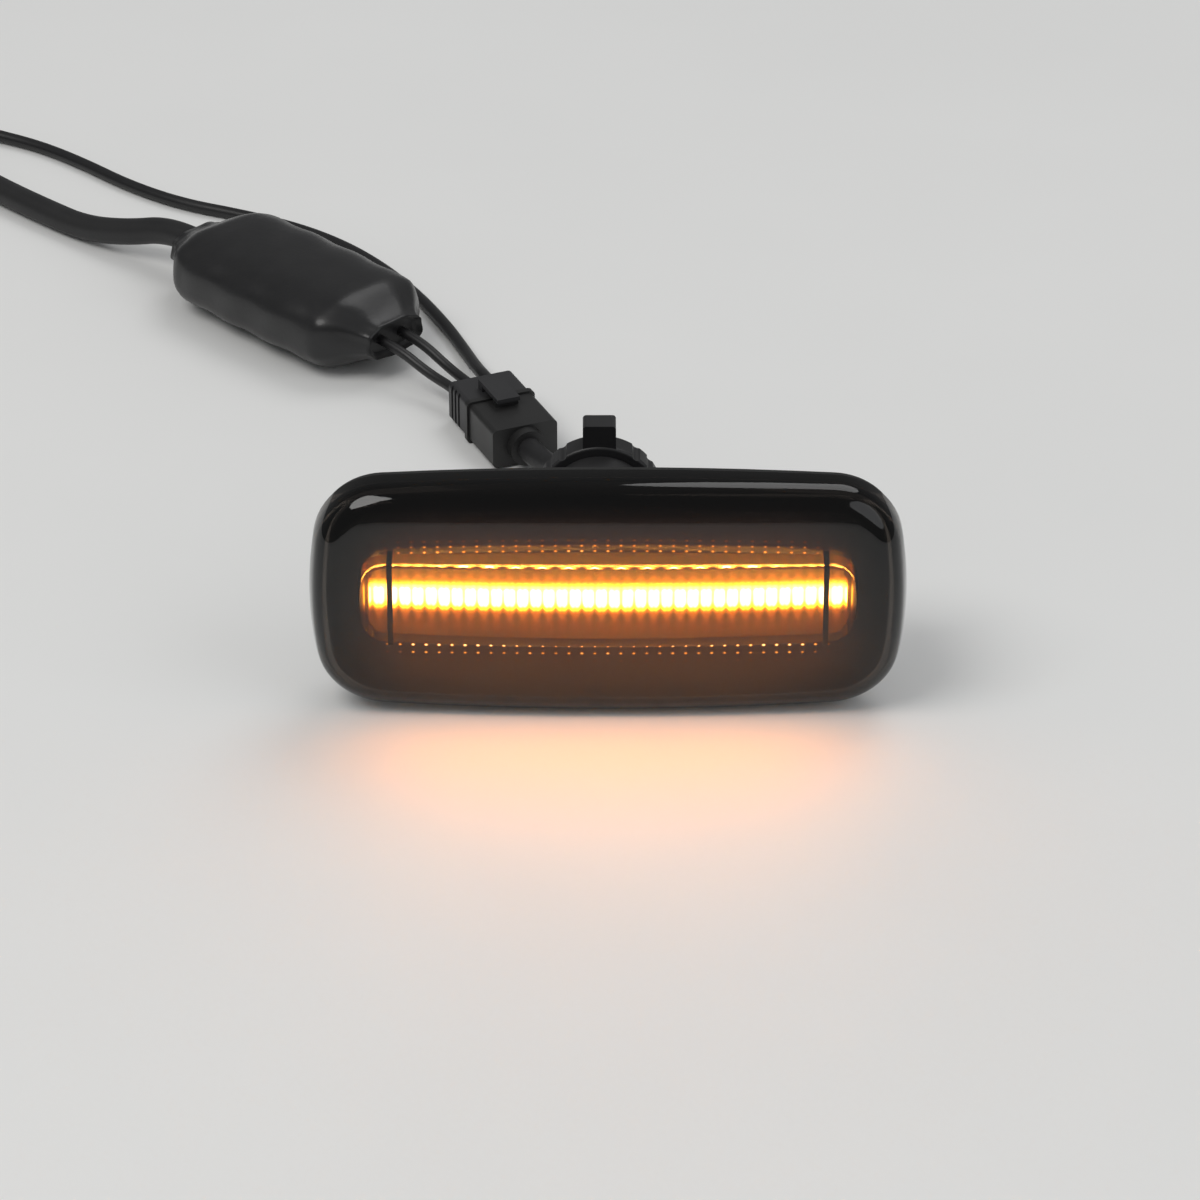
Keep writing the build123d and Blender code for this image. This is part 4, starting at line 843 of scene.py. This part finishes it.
CABLE_ROUTE = [
    (-1.4, 37.5, 0.0),
    (-1.4, 46.5, 0.0),
    (-2.8, 55.0, -5.7),
    (-5.9, 61.9, -12.8),
    (-10.4, 68.75, -17.2),
    (-14.0, 77.0, -17.2),
]
FRONT_STRAND_ROUTE = [
    (-24.516, 92.595, -17.2),
    (-27.516, 99.470, -17.2),
    (-33.0, 105.2, -16.6),
    (-38.957, 109.738, -13.5),
    (-44.207, 115.094, -13.5),
]
BACK_STRAND_ROUTE = [
    (-21.4, 93.955, -17.2),
    (-24.4, 100.829, -17.2),
    (-29.0, 107.6, -17.0),
    (-35.243, 113.378, -13.5),
    (-40.493, 118.734, -13.5),
]
BYPASS_ROUTE = [
    (-18.284, 95.315, -17.2),
    (-22.084, 104.022, -17.2),
    (-24.6, 112.6, -18.8),
    (-27.2, 122.6, -20.15),
    (-30.6, 132.0, -20.15),
    (-36.4, 144.6, -20.15),
    (-43.6, 156.6, -20.15),
    (-51.6, 166.4, -20.15),
    (-61.0, 174.2, -20.15),
    (-72.4, 180.2, -20.15),
    (-84.6, 185.4, -20.15),
    (-96.0, 194.0, -20.15),
    (-105.6, 204.0, -20.15),
    (-115.4, 212.6, -20.15),
    (-126.4, 218.4, -19.9),
    (-137.2, 222.0, -18.2),
    (-144.78, 225.96, -15.9),
    (-148.78, 228.96, -15.9),
]
SUPPLY_ROUTE = [
    (-79.101, 154.405, -13.5),
    (-84.701, 160.118, -13.5),
    (-93.6, 164.8, -16.5),
    (-102.4, 171.2, -18.75),
    (-110.8, 178.8, -18.75),
    (-119.0, 186.8, -18.75),
    (-127.0, 195.4, -18.75),
    (-134.0, 204.8, -18.5),
    (-140.4, 213.6, -17.1),
    (-145.92, 219.44, -15.9),
    (-152.32, 224.24, -15.9),
]


def add_cord(name, route, radius, finish, slot, node):
    """A free cord as a smooth curve along its route's points."""
    curve = bpy.data.curves.new(name, "CURVE")
    curve.dimensions = "3D"
    spline = curve.splines.new("NURBS")
    spline.points.add(len(route) - 1)
    for point, (x, y, z) in zip(spline.points, route):
        point.co = (x * MM, y * MM, z * MM, 1.0)
    spline.order_u = 3
    spline.use_endpoint_u = True
    spline.resolution_u = 12
    curve.bevel_depth = radius * MM
    curve.bevel_resolution = 6
    curve.use_fill_caps = True
    thing = bpy.data.objects.new(name, curve)
    bpy.context.collection.objects.link(thing)
    curve.materials.append(FINISH[finish])
    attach(thing, "root")
    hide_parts(node)
    return thing


def make_cords():
    """The harness's five cords, from the lamp to the vehicle plug."""
    jacket = ("jacket", "cable_jacket")
    insulation = ("insulation", "wire_insulation")
    return [
        add_cord("Lamp_Cable", CABLE_ROUTE, 2.25, *jacket, "lamp_cable"),
        add_cord("Front_Strand", FRONT_STRAND_ROUTE, 0.95, *insulation, "front_strand"),
        add_cord("Back_Strand", BACK_STRAND_ROUTE, 0.95, *insulation, "back_strand"),
        add_cord("Bypass_Lead", BYPASS_ROUTE, 1.2, *insulation, "bypass_lead"),
        add_cord("Supply_Lead", SUPPLY_ROUTE, 2.6, *jacket, "supply_lead"),
    ]


# Table, light and camera

ROOM_LIGHT = 0.4
ROOM_SEEN = 0.95
ROOM_MIRRORED = 0.18


def make_table():
    bm = bmesh.new()
    bmesh.ops.create_grid(bm, x_segments=2, y_segments=2, size=3.0)
    bmesh.ops.translate(bm, verts=bm.verts, vec=(0, 0, TABLE * MM))
    mesh = bpy.data.meshes.new("Table_Top")
    bm.to_mesh(mesh)
    bm.free()
    table = bpy.data.objects.new("Table_Top", mesh)
    bpy.context.collection.objects.link(table)
    material, tree, shader, place = start_material("pale table")
    wander = noise(tree, place, 14.0, 3.0)
    tree.links.new(mixed(tree, wander, (0.80, 0.80, 0.79), (0.84, 0.84, 0.83)), shader.inputs["Base Color"])
    shader.inputs["Roughness"].default_value = 0.6
    mesh.materials.append(material)


def add_light(name, spot, aim, size, power, colour):
    lamp = bpy.data.lights.new(name, "AREA")
    lamp.shape = "DISK"
    lamp.size = size
    lamp.energy = power
    lamp.color = colour
    thing = bpy.data.objects.new(name, lamp)
    thing.location = spot
    thing.rotation_euler = (Vector(aim) - Vector(spot)).to_track_quat("-Z", "Y").to_euler()
    bpy.context.collection.objects.link(thing)
    return lamp


def make_studio():
    add_light("Key", (-0.7, -0.5, 1.3), (0, 0.03, 0), 0.9, 9.0, (1.0, 0.99, 0.97))
    add_light("Fill", (1.1, -0.7, 0.9), (0, 0.03, 0), 1.2, 3.5, (0.96, 0.98, 1.0))
    add_light("Back", (0.5, 0.9, 1.5), (0, 0.05, 0), 1.0, 5.0, (1.0, 1.0, 1.0))
    glow = add_light("Lamp_Glow", (0, -0.0145, -0.006), (0, -0.05, -0.03), 0.075, 0.009, (1.0, 0.30, 0.015))
    glow.shape = "RECTANGLE"
    glow.size_y = 0.006
    world = bpy.data.worlds.new("Soft room")
    bpy.context.scene.world = world
    world.use_nodes = True
    tree = world.node_tree
    background = tree.nodes["Background"]
    path = tree.nodes.new("ShaderNodeLightPath")
    background.inputs["Color"].default_value = (0.93, 0.94, 0.95, 1.0)
    seen = arithmetic(tree, "MULTIPLY_ADD", path.outputs["Is Camera Ray"], ROOM_SEEN - ROOM_LIGHT, ROOM_LIGHT)
    dimmed = arithmetic(tree, "MULTIPLY_ADD", path.outputs["Is Glossy Ray"], ROOM_MIRRORED - ROOM_LIGHT, seen)
    tree.links.new(dimmed, background.inputs["Strength"])


def make_camera():
    lens = bpy.data.cameras.new("Camera")
    lens.lens = 150.0
    lens.sensor_width = 36.0
    camera = bpy.data.objects.new("Camera", lens)
    camera.location = (-0.0013, -0.7164, 0.4094)
    camera.rotation_euler = (math.radians(60), 0, 0)
    bpy.context.collection.objects.link(camera)
    bpy.context.scene.camera = camera


make_table()
make_studio()
make_camera()
bpy.context.scene.view_settings.view_transform = "Standard"

finish_cad_nodes()
made = {node: smoothed_copy(node, *facts) for node, facts in SMOOTHED.items()}
make_lens()
sleeve = make_sleeve()
make_cords()
